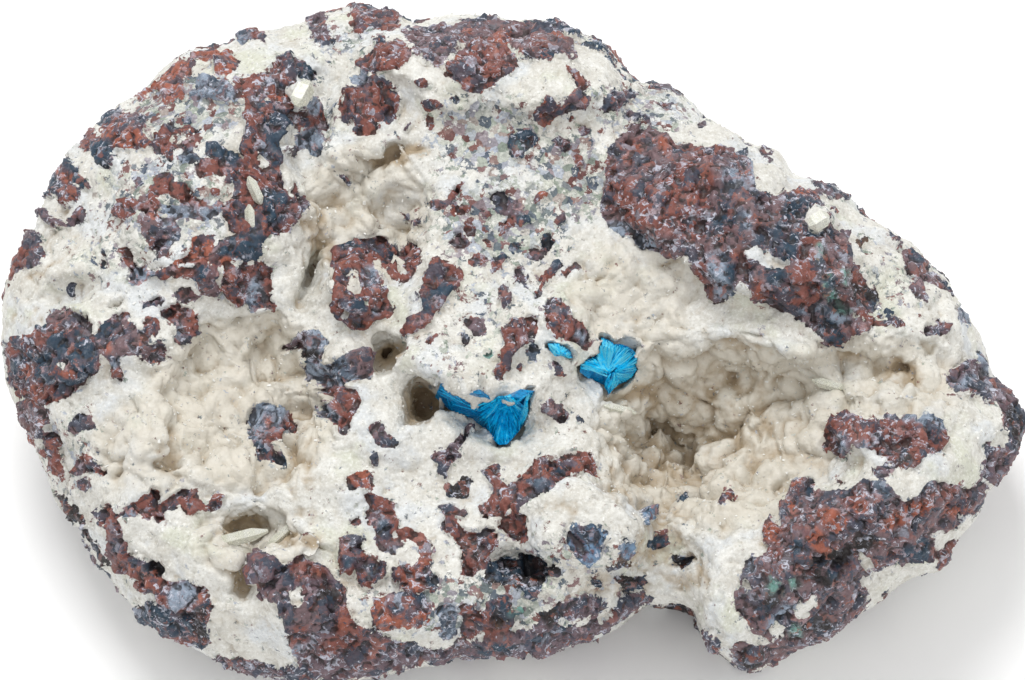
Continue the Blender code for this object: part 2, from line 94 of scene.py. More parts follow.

# The clasts seen square to the face, large ones first: a tone, then x and y of each corner in turn.
# A cream one is zeolite again; one of the darkest tone is partly painted shade, where shadow is deep.
CLASTS = (
    # Right plateau
    ("mottled", 600, 200, 603, 178, 606, 158, 614, 140, 626, 131, 645, 128, 662, 130, 676, 142, 690, 140,
     705, 148, 720, 150, 735, 155, 746, 165, 753, 192, 770, 198, 790, 192, 808, 190, 820, 202, 830, 218,
     838, 236, 846, 246, 852, 262, 862, 276, 872, 288, 874, 306, 866, 312, 850, 311, 847, 318, 872, 326,
     868, 332, 850, 334, 838, 343, 829, 347, 819, 342, 811, 330, 799, 322, 780, 313, 768, 308, 752, 304,
     748, 288, 740, 280, 730, 292, 722, 301, 708, 303, 701, 290, 693, 278, 687, 262, 674, 256, 655, 250,
     640, 246, 625, 236, 608, 228, 600, 215),
    ("red", 602, 196, 616, 186, 632, 182, 646, 177, 660, 180, 672, 165, 690, 164, 706, 172, 716, 186,
     704, 198, 712, 210, 700, 222, 706, 240, 690, 246, 672, 238, 656, 226, 640, 224, 622, 216, 606, 210),
    ("orange", 618, 145, 628, 139, 643, 143, 640, 156, 630, 166, 621, 160),
    ("orange", 658, 138, 673, 142, 668, 151, 659, 150),
    ("red", 603, 160, 613, 162, 618, 173, 611, 178, 604, 172),
    ("red", 686, 142, 704, 150, 716, 160, 712, 168, 696, 160),
    ("pale", 606, 222, 626, 222, 634, 232, 622, 238, 608, 230),
    ("pale", 634, 236, 652, 234, 662, 246, 648, 252, 636, 246),
    ("pale", 720, 173, 742, 175, 746, 192, 730, 195, 722, 188),
    ("blue", 730, 153, 745, 153, 745, 161, 732, 161),
    ("pale", 743, 160, 749, 163, 755, 184, 749, 186),
    ("blue", 779, 200, 800, 200, 817, 204, 813, 213, 800, 221, 782, 225),
    ("orange", 790, 192, 805, 190, 816, 196, 814, 202, 795, 203),
    ("blue", 774, 224, 785, 227, 796, 240, 796, 258, 790, 266, 781, 262, 774, 250, 771, 235),
    ("blue", 758, 262, 780, 264, 786, 275, 778, 290, 768, 286, 763, 272),
    ("blue", 700, 228, 712, 218, 728, 212, 739, 216, 735, 229, 722, 233, 705, 233),
    ("pale", 740, 214, 749, 216, 749, 232, 741, 230),
    ("pale", 754, 237, 766, 237, 764, 247, 754, 246),
    ("blue", 795, 226, 815, 224, 824, 234, 821, 243, 803, 242, 790, 238),
    ("red", 748, 290, 752, 277, 760, 281, 772, 291, 784, 284, 792, 270, 795, 255, 801, 241, 812, 243,
     819, 251, 812, 262, 818, 276, 821, 292, 816, 305, 800, 307, 784, 301, 770, 305, 754, 303),
    ("orange", 754, 286, 764, 286, 776, 296, 768, 303, 756, 300),
    ("red", 818, 256, 830, 262, 833, 276, 825, 283, 820, 270),
    ("dark", 822, 268, 830, 270, 830, 280, 824, 282),
    ("dark", 846, 292, 856, 280, 868, 286, 875, 302, 867, 309, 851, 309),
    ("red", 856, 270, 864, 280, 860, 288, 850, 284, 848, 272),
    ("teal", 811, 253, 821, 251, 820, 264, 813, 265),
    ("teal", 836, 269, 848, 272, 848, 285, 839, 280),
    ("teal", 820, 280, 826, 275, 831, 290, 839, 301, 849, 312, 838, 316, 826, 308, 820, 296),
    ("pale", 786, 305, 800, 307, 818, 307, 830, 312, 847, 320, 840, 327, 826, 322, 810, 315, 794, 311),
    ("blue", 816, 322, 829, 322, 840, 332, 836, 344, 826, 343, 817, 332),
    ("orange", 846, 328, 863, 326, 866, 332, 850, 335),
    ("red", 854, 314, 880, 318, 904, 324, 888, 327, 866, 323),
    ("blue", 874, 309, 888, 311, 894, 314, 880, 315),
    (CREAM, 741, 251, 759, 247, 770, 254, 785, 261, 787, 269, 766, 266, 748, 262),
    (CREAM, 804, 217, 812, 209, 823, 211, 829, 220, 826, 229, 815, 235, 805, 231),
    ("pale", 704, 256, 722, 254, 725, 266, 729, 280, 734, 290, 724, 299, 713, 292, 707, 280, 703, 266),
    ("red", 694, 264, 702, 262, 707, 280, 713, 290, 708, 301, 701, 290, 697, 278),
    ("blue", 725, 262, 735, 262, 735, 280, 730, 285, 725, 274),
    ("red", 727, 251, 742, 252, 741, 259, 727, 258),
    # Right rim
    ("purple", 675, 87, 680, 90, 684, 98, 676, 98),
    ("purple", 697, 124, 702, 119, 708, 125, 704, 131, 697, 129),
    ("purple", 742, 137, 749, 139, 753, 147, 745, 145),
    ("purple", 760, 150, 769, 151, 772, 161, 766, 161, 761, 157),
    ("purple", 811, 179, 821, 180, 836, 190, 851, 199, 841, 201, 828, 197, 814, 190),
    ("red", 825, 208, 836, 205, 837, 212, 827, 213),
    ("purple", 838, 234, 845, 232, 847, 239, 840, 241),
    ("brown", 856, 236, 864, 234, 867, 240, 862, 245, 857, 242),
    ("blue", 880, 234, 890, 232, 898, 240, 889, 238),
    ("purple", 884, 240, 894, 240, 902, 247, 894, 249),
    ("mottled", 899, 251, 907, 246, 918, 256, 930, 266, 938, 278, 945, 285, 953, 297, 938, 291, 925, 286,
     914, 281, 904, 271, 900, 262),
    ("blue", 904, 250, 909, 247, 919, 258, 926, 266, 916, 266, 908, 260),
    ("blue", 936, 278, 945, 285, 952, 296, 942, 290),
    ("purple", 903, 288, 916, 287, 925, 300, 917, 303, 906, 296),
    ("pale", 950, 311, 958, 306, 968, 309, 973, 324, 966, 329, 958, 319),
    ("purple", 914, 335, 921, 326, 933, 326, 933, 319, 951, 323, 946, 330, 938, 335, 932, 332, 923, 335),
    ("pale", 973, 350, 980, 352, 987, 366, 991, 376, 984, 373, 976, 362),
    ("purple", 950, 374, 958, 366, 968, 362, 978, 366, 984, 374, 994, 378, 1003, 384, 1000, 390, 988, 395,
     978, 394, 968, 388, 952, 390),
    ("pale", 952, 378, 970, 376, 980, 382, 968, 386, 954, 386),
    ("purple", 984, 402, 986, 393, 1000, 387, 1010, 389, 1018, 400, 1022, 414, 1022, 434, 1017, 452,
     1010, 464, 1003, 474, 997, 484, 986, 481, 978, 474, 976, 462, 984, 456, 979, 446, 986, 442, 1000, 446,
     1003, 430, 1000, 416, 1003, 404, 994, 402),
    ("dark", 1005, 400, 1016, 402, 1021, 416, 1020, 436, 1012, 450, 1004, 446, 1007, 428, 1003, 414),
    # Block clast and what lies round it
    ("red", 815, 437, 822, 426, 826, 416, 836, 409, 848, 419, 866, 420, 884, 420, 900, 424, 912, 424,
     926, 428, 941, 430, 942, 441, 938, 447, 928, 451, 918, 457, 908, 465, 900, 469, 890, 463, 880, 453,
     868, 449, 858, 447, 850, 441, 846, 453, 836, 461, 826, 457, 818, 447),
    ("pale", 831, 438, 842, 434, 847, 444, 842, 457, 833, 455),
    ("pale", 849, 444, 862, 440, 873, 442, 862, 449, 852, 449),
    ("pale", 896, 420, 908, 413, 926, 413, 941, 420, 943, 431, 926, 427, 912, 424, 902, 425),
    ("dark", 897, 452, 906, 450, 912, 460, 904, 468, 897, 463),
    ("purple", 869, 466, 882, 460, 891, 468, 884, 477, 875, 475),
    ("red", 825, 476, 836, 474, 840, 480, 830, 482),
    ("red", 715, 499, 721, 488, 730, 485, 737, 490, 735, 499, 724, 503),
    ("blue", 675, 497, 690, 490, 693, 496, 682, 501),
    # Prow
    ("mottled", 784, 488, 799, 480, 812, 486, 824, 494, 838, 489, 850, 482, 862, 480, 872, 482, 884, 482,
     887, 492, 900, 500, 910, 494, 918, 484, 925, 480, 940, 482, 954, 480, 959, 488, 968, 486, 977, 478,
     985, 482, 981, 496, 972, 510, 960, 517, 950, 527, 936, 529, 928, 536, 936, 546, 929, 557, 914, 563,
     900, 565, 890, 561, 880, 567, 870, 573, 869, 586, 866, 602, 856, 614, 840, 624, 828, 634, 812, 644,
     796, 652, 780, 658, 764, 664, 751, 669, 740, 663, 729, 653, 731, 641, 746, 639, 758, 640, 770, 640,
     762, 633, 750, 631, 741, 617, 733, 607, 732, 594, 737, 576, 741, 560, 746, 551, 758, 556, 764, 546,
     761, 534, 763, 522, 770, 517, 776, 524, 778, 508, 782, 498),
    ("orange", 759, 531, 766, 521, 775, 521, 777, 533, 772, 543, 763, 541),
    ("orange", 784, 506, 792, 499, 799, 504, 796, 513, 788, 515),
    ("orange", 788, 484, 796, 480, 799, 488, 790, 492),
    ("orange", 810, 512, 826, 505, 840, 513, 854, 516, 847, 527, 830, 531, 817, 523),
    ("orange", 800, 530, 812, 524, 822, 536, 837, 538, 830, 547, 816, 551, 803, 544),
    ("orange", 846, 503, 861, 499, 863, 511, 852, 513),
    ("orange", 872, 528, 880, 514, 894, 506, 910, 499, 925, 499, 929, 512, 914, 518, 900, 523, 886, 527),
    ("orange", 939, 502, 954, 495, 967, 500, 969, 512, 952, 517, 942, 513),
    ("red", 919, 490, 936, 485, 951, 481, 959, 490, 944, 497, 926, 498),
    ("red", 764, 547, 777, 547, 777, 557, 766, 557),
    ("red", 835, 488, 850, 485, 861, 494, 850, 503, 837, 501),
    ("pale", 869, 481, 883, 482, 887, 494, 876, 501, 868, 492),
    ("blue", 797, 478, 808, 477, 815, 491, 806, 495),
    ("blue", 783, 536, 796, 535, 801, 548, 790, 557, 781, 548),
    ("dark", 798, 558, 814, 549, 834, 541, 852, 535, 870, 533, 885, 539, 870, 547, 852, 550, 842, 560,
     838, 572, 828, 582, 812, 580, 802, 572),
    ("blue", 820, 560, 834, 556, 836, 568, 826, 576),
    ("blue", 896, 547, 908, 538, 920, 533, 934, 544, 927, 555, 912, 559, 898, 559),
    ("red", 883, 553, 896, 548, 899, 561, 888, 563),
    ("red", 925, 562, 940, 547, 952, 535, 957, 532, 953, 545, 942, 560, 934, 568),
    (CREAM, 890, 571, 906, 562, 926, 558, 937, 557, 932, 565, 918, 569, 900, 579, 892, 581),
    (CREAM, 856, 547, 865, 552, 869, 564, 873, 573, 862, 567, 855, 558),
    (CREAM, 861, 578, 872, 574, 881, 580, 872, 591, 865, 594),
    ("teal", 763, 576, 770, 571, 775, 580, 770, 591, 763, 588),
    ("teal", 785, 578, 792, 573, 797, 582, 790, 589),
    ("teal", 773, 588, 781, 590, 777, 595),
    ("pale", 743, 562, 752, 559, 757, 570, 750, 579, 743, 574),
    ("pale", 761, 622, 769, 608, 782, 599, 793, 593, 797, 600, 784, 609, 774, 619),
    (CREAM, 791, 604, 800, 594, 810, 587, 813, 594, 804, 607, 794, 613),
    (CREAM, 767, 624, 774, 615, 781, 622, 779, 635, 771, 639),
    (CREAM, 738, 582, 745, 577, 749, 586, 742, 591),
    ("teal", 783, 622, 794, 615, 801, 622, 799, 635, 788, 636),
    ("dark", 756, 596, 772, 590, 780, 598, 768, 606, 758, 612),
    ("dark", 800, 621, 812, 612, 827, 616, 831, 625, 818, 633, 802, 631),
    ("dark", 740, 644, 752, 642, 764, 648, 764, 660, 752, 666, 742, 660),
    ("purple", 701, 626, 710, 625, 716, 634, 721, 647, 712, 651, 703, 643),
    ("dark", 882, 591, 890, 589, 890, 596, 882, 597),
    # Upper left
    ("red", 234, 37, 243, 29, 250, 26, 258, 28, 265, 36, 266, 46, 260, 42, 252, 40, 245, 36),
    ("pale", 236, 33, 250, 33, 250, 40, 238, 41),
    ("purple", 310, 20, 318, 14, 326, 12, 328, 20, 326, 28, 333, 34, 334, 44, 326, 50, 318, 44, 312, 34,
     308, 26),
    ("orange", 182, 57, 200, 50, 214, 47, 227, 52, 241, 60, 237, 70, 228, 75, 215, 72, 213, 60, 195, 57,
     193, 72, 181, 82, 187, 90, 172, 101, 162, 98, 160, 89, 150, 93, 140, 101, 133, 101, 149, 89, 167, 74),
    ("pale", 188, 84, 215, 77, 235, 84, 246, 96, 230, 105, 205, 98, 190, 96),
    ("red", 235, 74, 250, 77, 262, 75, 275, 71, 285, 86, 280, 99, 262, 101, 246, 98, 238, 92),
    ("blue", 261, 82, 272, 80, 284, 84, 284, 93, 268, 90),
    ("orange", 100, 122, 112, 112, 124, 112, 135, 112, 149, 118, 148, 135, 156, 143, 140, 151, 118, 151,
     103, 140),
    ("purple", 125, 114, 147, 114, 148, 130, 138, 136, 126, 130),
    ("blue", 97, 123, 104, 111, 112, 107, 122, 109, 112, 118, 104, 125),
    ("blue", 97, 145, 117, 144, 119, 152, 117, 166, 104, 169, 96, 160),
    ("red", 76, 151, 84, 136, 96, 127, 99, 142, 92, 149, 84, 151),
    ("red", 157, 136, 170, 129, 192, 126, 207, 128, 200, 134, 176, 134, 172, 144, 198, 139, 200, 150,
     190, 153, 178, 148, 176, 158, 174, 166, 167, 160, 165, 153, 156, 155, 154, 146),
    ("blue", 165, 129, 176, 118, 181, 111, 179, 124, 172, 133),
    ("blue", 183, 118, 190, 111, 191, 120, 186, 125),
    ("pale", 177, 155, 195, 151, 204, 158, 198, 165, 182, 164),
    ("blue", 276, 53, 290, 56, 306, 63, 318, 71, 323, 83, 312, 81, 300, 77, 290, 73, 280, 65),
    ("red", 271, 66, 282, 61, 292, 71, 299, 78, 292, 89, 284, 87, 276, 79),
    ("red", 237, 90, 252, 85, 263, 94, 256, 101, 240, 99),
    ("orange", 271, 98, 284, 94, 291, 102, 293, 111, 282, 109, 272, 105),
    ("blue", 255, 100, 270, 103, 284, 107, 295, 112, 295, 122, 285, 127, 285, 150, 283, 165, 272, 167,
     261, 150, 261, 130, 257, 115),
    ("orange", 264, 108, 273, 109, 273, 118, 265, 118),
    ("red", 245, 98, 256, 101, 259, 118, 263, 132, 261, 165, 250, 163, 243, 150, 249, 128, 243, 112),
    ("red", 295, 112, 308, 115, 318, 98, 325, 108, 327, 138, 318, 131, 306, 129, 294, 125),
    ("pale", 305, 104, 316, 99, 323, 108, 316, 119, 307, 117),
    ("pale", 299, 134, 316, 127, 327, 140, 319, 157, 307, 151, 296, 141),
    ("purple", 289, 148, 303, 147, 301, 155, 290, 153),
    ("blue", 206, 145, 218, 146, 230, 153, 244, 159, 249, 167, 236, 169, 220, 165, 209, 157),
    ("red", 244, 161, 263, 163, 258, 173, 246, 181, 232, 187, 221, 185, 228, 177, 216, 173, 202, 183,
     199, 170, 206, 159, 222, 167, 236, 170),
    ("red", 261, 168, 280, 166, 285, 180, 289, 200, 291, 228, 281, 233, 262, 237, 250, 241, 232, 233,
     225, 218, 227, 206, 237, 196, 239, 184, 251, 177),
    ("blue", 264, 190, 284, 190, 290, 214, 282, 228, 268, 222, 262, 204),
    ("purple", 296, 183, 305, 196, 310, 206, 301, 217, 294, 229, 290, 215, 287, 206, 291, 196),
    ("purple", 334, 177, 342, 180, 348, 189, 340, 190),
    ("red", 115, 208, 124, 199, 138, 199, 147, 205, 163, 202, 165, 211, 158, 217, 149, 215, 140, 211,
     130, 219, 119, 217),
    ("red", 150, 198, 156, 185, 160, 175, 167, 169, 175, 180, 187, 185, 195, 196, 205, 202, 205, 209,
     188, 207, 180, 201, 170, 197, 160, 201),
    ("purple", 132, 180, 140, 177, 150, 186, 140, 189),
    ("red", 209, 189, 223, 189, 223, 199, 211, 197),
    ("pale", 164, 205, 200, 207, 212, 206, 225, 204, 225, 215, 205, 221, 190, 223, 176, 221, 167, 214),
    ("red", 149, 214, 164, 216, 163, 228, 159, 241, 148, 237, 142, 224),
    ("blue", 44, 198, 47, 185, 56, 163, 66, 154, 75, 163, 85, 176, 91, 187, 72, 187, 62, 189, 54, 197),
    ("orange", 58, 166, 68, 163, 76, 176, 72, 184, 60, 180),
    ("red", 57, 190, 70, 186, 81, 192, 76, 201, 68, 205, 60, 201),
    ("purple", 39, 212, 48, 209, 55, 220, 70, 224, 74, 212, 80, 205, 89, 212, 87, 223, 76, 227, 60, 229,
     43, 221),
    # Left
    ("red", 14, 262, 20, 250, 28, 243, 34, 246, 48, 252, 49, 257, 40, 262, 30, 265, 22, 269, 16, 277, 8, 290,
     7, 272),
    ("purple", 22, 238, 32, 230, 44, 238, 46, 245, 36, 247, 27, 244),
    ("purple", 22, 258, 34, 254, 48, 258, 40, 268, 28, 270),
    ("blue", 106, 252, 111, 247, 113, 256, 110, 262, 113, 269, 103, 269, 107, 260),
    ("red", 123, 248, 130, 245, 135, 256, 137, 264, 143, 268, 151, 270, 146, 277, 137, 283, 133, 272,
     128, 264, 123, 256),
    ("pale", 138, 268, 150, 267, 163, 272, 158, 279, 150, 276, 146, 285, 136, 287, 133, 280),
    ("mottled", 144, 220, 179, 219, 182, 236, 175, 249, 168, 259, 162, 263, 160, 252, 152, 246, 145, 236),
    ("orange", 150, 236, 160, 238, 161, 253, 154, 251),
    ("pale", 165, 222, 179, 223, 180, 240, 170, 251, 165, 240),
    ("orange", 195, 240, 208, 235, 219, 238, 214, 252, 228, 256, 237, 262, 228, 269, 218, 265, 208, 263,
     200, 265, 188, 263, 176, 267, 165, 271, 175, 262, 188, 255, 195, 250),
    ("blue", 215, 250, 222, 241, 238, 237, 252, 235, 269, 236, 262, 245, 262, 255, 254, 261, 240, 263,
     232, 257, 222, 259),
    ("blue", 191, 270, 200, 263, 212, 265, 223, 270, 218, 281, 206, 283, 195, 281),
    ("red", 225, 272, 240, 267, 256, 263, 268, 264, 275, 270, 272, 280, 274, 291, 268, 299, 262, 287,
     254, 279, 250, 283, 249, 301, 240, 307, 230, 301, 223, 290, 223, 280),
    ("pale", 250, 281, 254, 275, 261, 284, 267, 296, 271, 307, 262, 313, 252, 309, 247, 300),
    ("red", 261, 299, 276, 305, 281, 311, 272, 313, 261, 311),
    ("red", 160, 271, 176, 267, 190, 269, 201, 272, 196, 277, 180, 277, 165, 283),
    ("mottled", 201, 282, 212, 279, 221, 284, 223, 299, 214, 299, 203, 297),
    ("purple", 64, 290, 72, 283, 79, 284, 77, 292, 79, 299, 69, 294),
    ("mottled", 177, 292, 186, 287, 197, 292, 203, 299, 194, 301, 184, 301, 177, 298),
    ("mottled", 49, 316, 60, 311, 74, 311, 89, 318, 99, 326, 97, 335, 84, 331, 70, 329, 60, 331, 49, 326),
    ("blue", 40, 328, 50, 323, 57, 328, 50, 333, 41, 333),
    ("red", 2, 352, 8, 343, 20, 339, 34, 335, 50, 332, 66, 330, 84, 330, 98, 336, 104, 346, 104, 360,
     102, 372, 94, 382, 84, 390, 70, 398, 56, 404, 40, 404, 26, 402, 17, 390, 8, 380, 3, 368),
    ("blue", 14, 366, 22, 356, 36, 346, 52, 339, 64, 334, 82, 333, 96, 339, 103, 347, 102, 358, 98, 370,
     92, 380, 80, 388, 66, 396, 50, 400, 38, 396, 30, 386, 20, 380, 12, 374),
    ("red", 36, 345, 48, 341, 51, 351, 40, 353),
    ("orange", 26, 366, 34, 363, 39, 374, 32, 383, 24, 380),
    ("orange", 52, 366, 66, 361, 79, 366, 79, 375, 68, 379, 56, 375),
    ("red", 18, 384, 30, 380, 44, 384, 60, 386, 60, 397, 44, 401, 28, 401, 19, 394),
    (CREAM, 61, 365, 65, 362, 67, 370, 62, 373),
    ("blue", 101, 330, 112, 323, 120, 319, 131, 315, 135, 320, 128, 327, 122, 331, 116, 337, 108, 343,
     101, 340),
    ("red", 112, 323, 126, 315, 135, 318, 120, 325),
    ("mottled", 101, 342, 116, 333, 128, 325, 140, 327, 149, 336, 151, 347, 140, 353, 128, 353, 120, 357,
     110, 355, 101, 352),
    ("orange", 105, 344, 116, 339, 121, 348, 112, 353),
    ("red", 150, 317, 158, 321, 163, 326, 158, 335, 150, 341, 145, 330),
    ("mottled", 139, 352, 152, 345, 165, 341, 169, 350, 167, 361, 154, 367, 145, 360),
    ("red", 163, 310, 176, 307, 188, 305, 197, 310, 199, 320, 199, 333, 190, 339, 179, 337, 175, 328,
     165, 318),
    ("pale", 176, 319, 184, 321, 184, 335, 177, 338),
    ("purple", 175, 338, 190, 337, 187, 347, 178, 349),
    ("pale", 114, 358, 124, 353, 127, 362, 118, 365),
    ("red", 117, 366, 126, 363, 130, 376, 127, 385, 120, 381, 115, 372),
    ("purple", 145, 304, 156, 297, 167, 296, 168, 303, 158, 307, 148, 313, 145, 314),
    ("mottled", 19, 404, 28, 402, 46, 403, 57, 410, 53, 418, 51, 427, 55, 435, 44, 439, 33, 435, 25, 424,
     21, 412),
    ("red", 45, 436, 56, 433, 61, 442, 61, 457, 66, 466, 67, 478, 60, 483, 52, 474, 45, 460, 44, 446),
    ("mottled", 73, 424, 84, 415, 97, 413, 99, 424, 86, 431, 76, 435),
    ("pale", 251, 404, 264, 401, 276, 405, 288, 405, 295, 412, 291, 424, 281, 431, 270, 441, 262, 449,
     253, 453, 251, 436, 249, 420),
    ("orange", 266, 414, 275, 415, 273, 421, 266, 421),
    ("red", 288, 411, 294, 409, 301, 424, 299, 435, 292, 439, 285, 431, 284, 420),
    ("red", 261, 442, 274, 435, 285, 430, 281, 441, 270, 449, 263, 451),
    ("blue", 255, 448, 268, 450, 279, 456, 283, 463, 272, 465, 257, 463),
    ("red", 231, 408, 244, 409, 247, 415, 238, 413),
    ("purple", 289, 350, 298, 337, 304, 327, 313, 333, 313, 343, 302, 347, 294, 351),
    ("pale", 308, 329, 320, 329, 327, 340, 323, 351, 312, 347),
    ("dark", 306, 346, 318, 345, 323, 357, 314, 359, 307, 354),
    ("pale", 307, 362, 318, 357, 330, 361, 342, 357, 350, 355, 356, 353, 371, 353, 377, 362, 373, 373,
     368, 381, 356, 379, 350, 387, 340, 387, 328, 389, 320, 381, 311, 374),
    ("mottled", 352, 354, 371, 354, 376, 363, 372, 374, 366, 380, 354, 374, 350, 364),
    ("red", 325, 391, 336, 387, 350, 391, 363, 393, 363, 405, 357, 413, 350, 421, 340, 425, 330, 427,
     321, 418, 319, 407, 332, 412, 340, 403),
    ("pale", 321, 403, 334, 408, 339, 418, 328, 425, 321, 414),
    # Top
    ("red", 349, 13, 352, 4, 372, 5, 396, 8, 400, 22, 397, 29, 378, 28, 366, 26, 360, 37, 351, 32),
    ("blue", 352, 3, 396, 7, 398, 13, 374, 11, 352, 9),
    ("blue", 375, 37, 388, 36, 388, 47, 376, 48),
    ("mottled", 402, 30, 430, 26, 460, 20, 480, 18, 520, 20, 548, 26, 560, 36, 574, 44, 576, 60, 556, 56,
     540, 60, 522, 56, 512, 46, 490, 40, 470, 42, 452, 52, 440, 66, 428, 62, 416, 50, 404, 42),
    ("blue", 525, 18, 540, 20, 556, 19, 564, 22, 576, 31, 587, 38, 602, 43, 612, 53, 622, 67, 634, 78,
     642, 85, 630, 80, 616, 66, 604, 52, 584, 42, 566, 30, 548, 26, 530, 25),
    ("red", 356, 66, 362, 59, 375, 49, 395, 43, 403, 45, 411, 52, 407, 60, 398, 69, 385, 73, 372, 75,
     362, 71),
    ("pale", 352, 78, 358, 71, 366, 73, 367, 82, 360, 87, 353, 84),
    ("red", 347, 90, 360, 85, 372, 75, 383, 80, 389, 92, 401, 98, 399, 116, 392, 123, 381, 121, 378, 131,
     368, 137, 355, 133, 353, 119, 344, 123, 339, 112, 343, 100),
    ("red", 444, 68, 455, 59, 463, 49, 475, 45, 490, 41, 500, 49, 512, 49, 521, 58, 517, 68, 508, 79,
     500, 87, 488, 93, 472, 93, 461, 85, 449, 79),
    ("orange", 491, 36, 500, 29, 511, 32, 513, 42, 506, 51, 495, 47),
    ("orange", 457, 27, 470, 25, 471, 35, 459, 36),
    ("purple", 438, 44, 452, 40, 460, 46, 450, 58, 440, 60),
    ("red", 414, 82, 425, 79, 433, 86, 428, 91, 419, 89),
    ("blue", 447, 88, 453, 95, 459, 102, 454, 110, 450, 98),
    ("red", 419, 108, 430, 103, 440, 104, 445, 110, 436, 115, 425, 116),
    ("red", 424, 118, 432, 117, 434, 128, 430, 134, 425, 125),
    ("purple", 412, 120, 416, 119, 411, 134, 406, 134),
    ("red", 529, 40, 545, 41, 549, 50, 535, 54),
    ("orange", 551, 32, 561, 33, 563, 43, 552, 45),
    ("blue", 539, 50, 556, 50, 556, 63, 541, 62),
    ("red", 564, 68, 575, 71, 586, 80, 591, 88, 582, 93, 574, 85, 567, 77),
    (CREAM, 545, 70, 560, 66, 574, 80, 576, 96, 560, 100, 548, 88),
    ("purple", 555, 112, 562, 102, 572, 95, 582, 89, 590, 93, 591, 102, 580, 111, 568, 116, 559, 118),
    ("orange", 532, 124, 529, 116, 540, 107, 545, 97, 551, 101, 556, 112, 559, 119, 550, 127, 540, 130),
    ("red", 566, 118, 577, 115, 572, 124),
    ("red", 576, 130, 586, 125, 589, 132, 580, 136),
    ("purple", 551, 142, 560, 136, 569, 140, 574, 148, 568, 156, 561, 151),
    ("red", 574, 158, 583, 154, 585, 165, 577, 167),
    ("purple", 599, 112, 605, 94, 620, 91, 641, 90, 632, 99, 622, 103, 612, 112),
    ("purple", 644, 88, 660, 82, 675, 85, 684, 96, 672, 95, 655, 91),
    ("purple", 624, 111, 640, 115, 651, 122, 640, 122, 628, 119),
    ("purple", 659, 101, 673, 106, 668, 113, 658, 109),
    ("blue", 509, 140, 518, 131, 530, 129, 536, 140, 529, 153, 515, 161, 507, 152),
    ("teal", 513, 148, 519, 144, 524, 148, 519, 154),
    ("red", 451, 199, 460, 189, 469, 182, 467, 192, 455, 203, 446, 205),
    ("purple", 427, 206, 440, 202, 453, 204, 446, 213, 432, 214),
    ("red", 449, 212, 462, 207, 473, 210, 475, 217, 460, 219, 451, 217),
    ("purple", 402, 214, 408, 215, 413, 222, 424, 218, 425, 225, 410, 224),
    ("purple", 494, 196, 503, 191, 512, 199, 523, 204, 519, 215, 506, 219, 496, 211, 492, 203),
    ("mottled", 479, 212, 489, 213, 491, 223, 481, 225),
    ("red", 498, 229, 503, 224, 514, 221, 511, 232, 503, 237, 498, 235),
    ("blue", 516, 222, 530, 217, 533, 226, 520, 228),
    ("orange", 532, 201, 543, 189, 546, 196, 536, 207),
    ("purple", 552, 222, 562, 211, 564, 220, 556, 227),
    # Middle
    ("red", 339, 252, 352, 247, 364, 243, 379, 243, 385, 252, 393, 258, 385, 265, 377, 269, 381, 274,
     387, 284, 391, 296, 395, 307, 389, 317, 377, 319, 368, 327, 356, 329, 347, 325, 339, 319, 331, 306,
     333, 292, 335, 280, 339, 268, 335, 260),
    ("blue", 340, 250, 356, 245, 367, 250, 360, 259, 350, 257, 341, 257),
    (CREAM, 350, 277, 362, 275, 365, 286, 358, 295, 350, 291),
    ("pale", 371, 272, 381, 273, 383, 284, 374, 289, 370, 280),
    ("blue", 353, 298, 366, 299, 369, 310, 360, 313, 351, 306),
    ("pale", 375, 306, 383, 308, 381, 315, 374, 313),
    (CREAM, 366, 298, 372, 296, 374, 304, 368, 307),
    (CREAM, 343, 312, 351, 309, 351, 317, 345, 317),
    ("dark", 352, 316, 366, 316, 366, 325, 356, 327),
    ("red", 396, 250, 410, 245, 420, 247, 425, 256, 419, 267, 414, 275, 408, 271, 406, 261, 397, 258),
    ("blue", 385, 251, 395, 251, 393, 263, 386, 261),
    ("red", 381, 262, 392, 267, 402, 275, 412, 275, 419, 271, 409, 283, 398, 287, 401, 280, 389, 275),
    ("red", 439, 261, 450, 265, 463, 275, 461, 287, 450, 293, 445, 301, 439, 311, 433, 321, 421, 331,
     409, 337, 401, 333, 407, 324, 417, 317, 423, 306, 419, 296, 423, 284, 429, 272, 433, 263),
    ("blue", 431, 288, 446, 283, 455, 288, 447, 299, 437, 305, 431, 313, 424, 317, 421, 306, 429, 297),
    ("mottled", 447, 242, 456, 235, 467, 238, 471, 246, 462, 251, 451, 249),
    ("red", 463, 228, 470, 223, 479, 230, 475, 239, 465, 236),
    ("blue", 537, 238, 548, 231, 553, 240, 547, 249, 537, 247),
    ("red", 481, 242, 488, 239, 497, 248, 490, 251, 483, 248),
    ("blue", 507, 244, 518, 241, 521, 250, 512, 255, 507, 251),
    ("red", 467, 262, 474, 255, 484, 257, 491, 262, 480, 267, 471, 269),
    ("blue", 489, 260, 502, 253, 509, 262, 498, 267, 489, 267),
    ("red", 489, 266, 501, 263, 503, 272, 494, 275, 489, 271),
    ("purple", 527, 250, 547, 249, 543, 258, 536, 265, 529, 258),
    ("purple", 513, 272, 522, 267, 529, 278, 527, 291, 520, 285, 513, 280),
    ("red", 535, 296, 539, 284, 545, 272, 555, 262, 561, 268, 552, 279, 545, 287, 538, 297),
    ("blue", 548, 266, 558, 260, 563, 266, 554, 272),
    ("red", 559, 278, 565, 267, 574, 259, 577, 266, 569, 273, 562, 281),
    ("purple", 499, 284, 507, 281, 507, 292, 513, 300, 507, 307, 502, 313, 499, 300),
    ("red", 499, 330, 503, 321, 514, 315, 526, 315, 537, 317, 537, 330, 531, 343, 520, 349, 513, 355,
     509, 365, 505, 377, 497, 379, 495, 372, 501, 360, 499, 348, 503, 338),
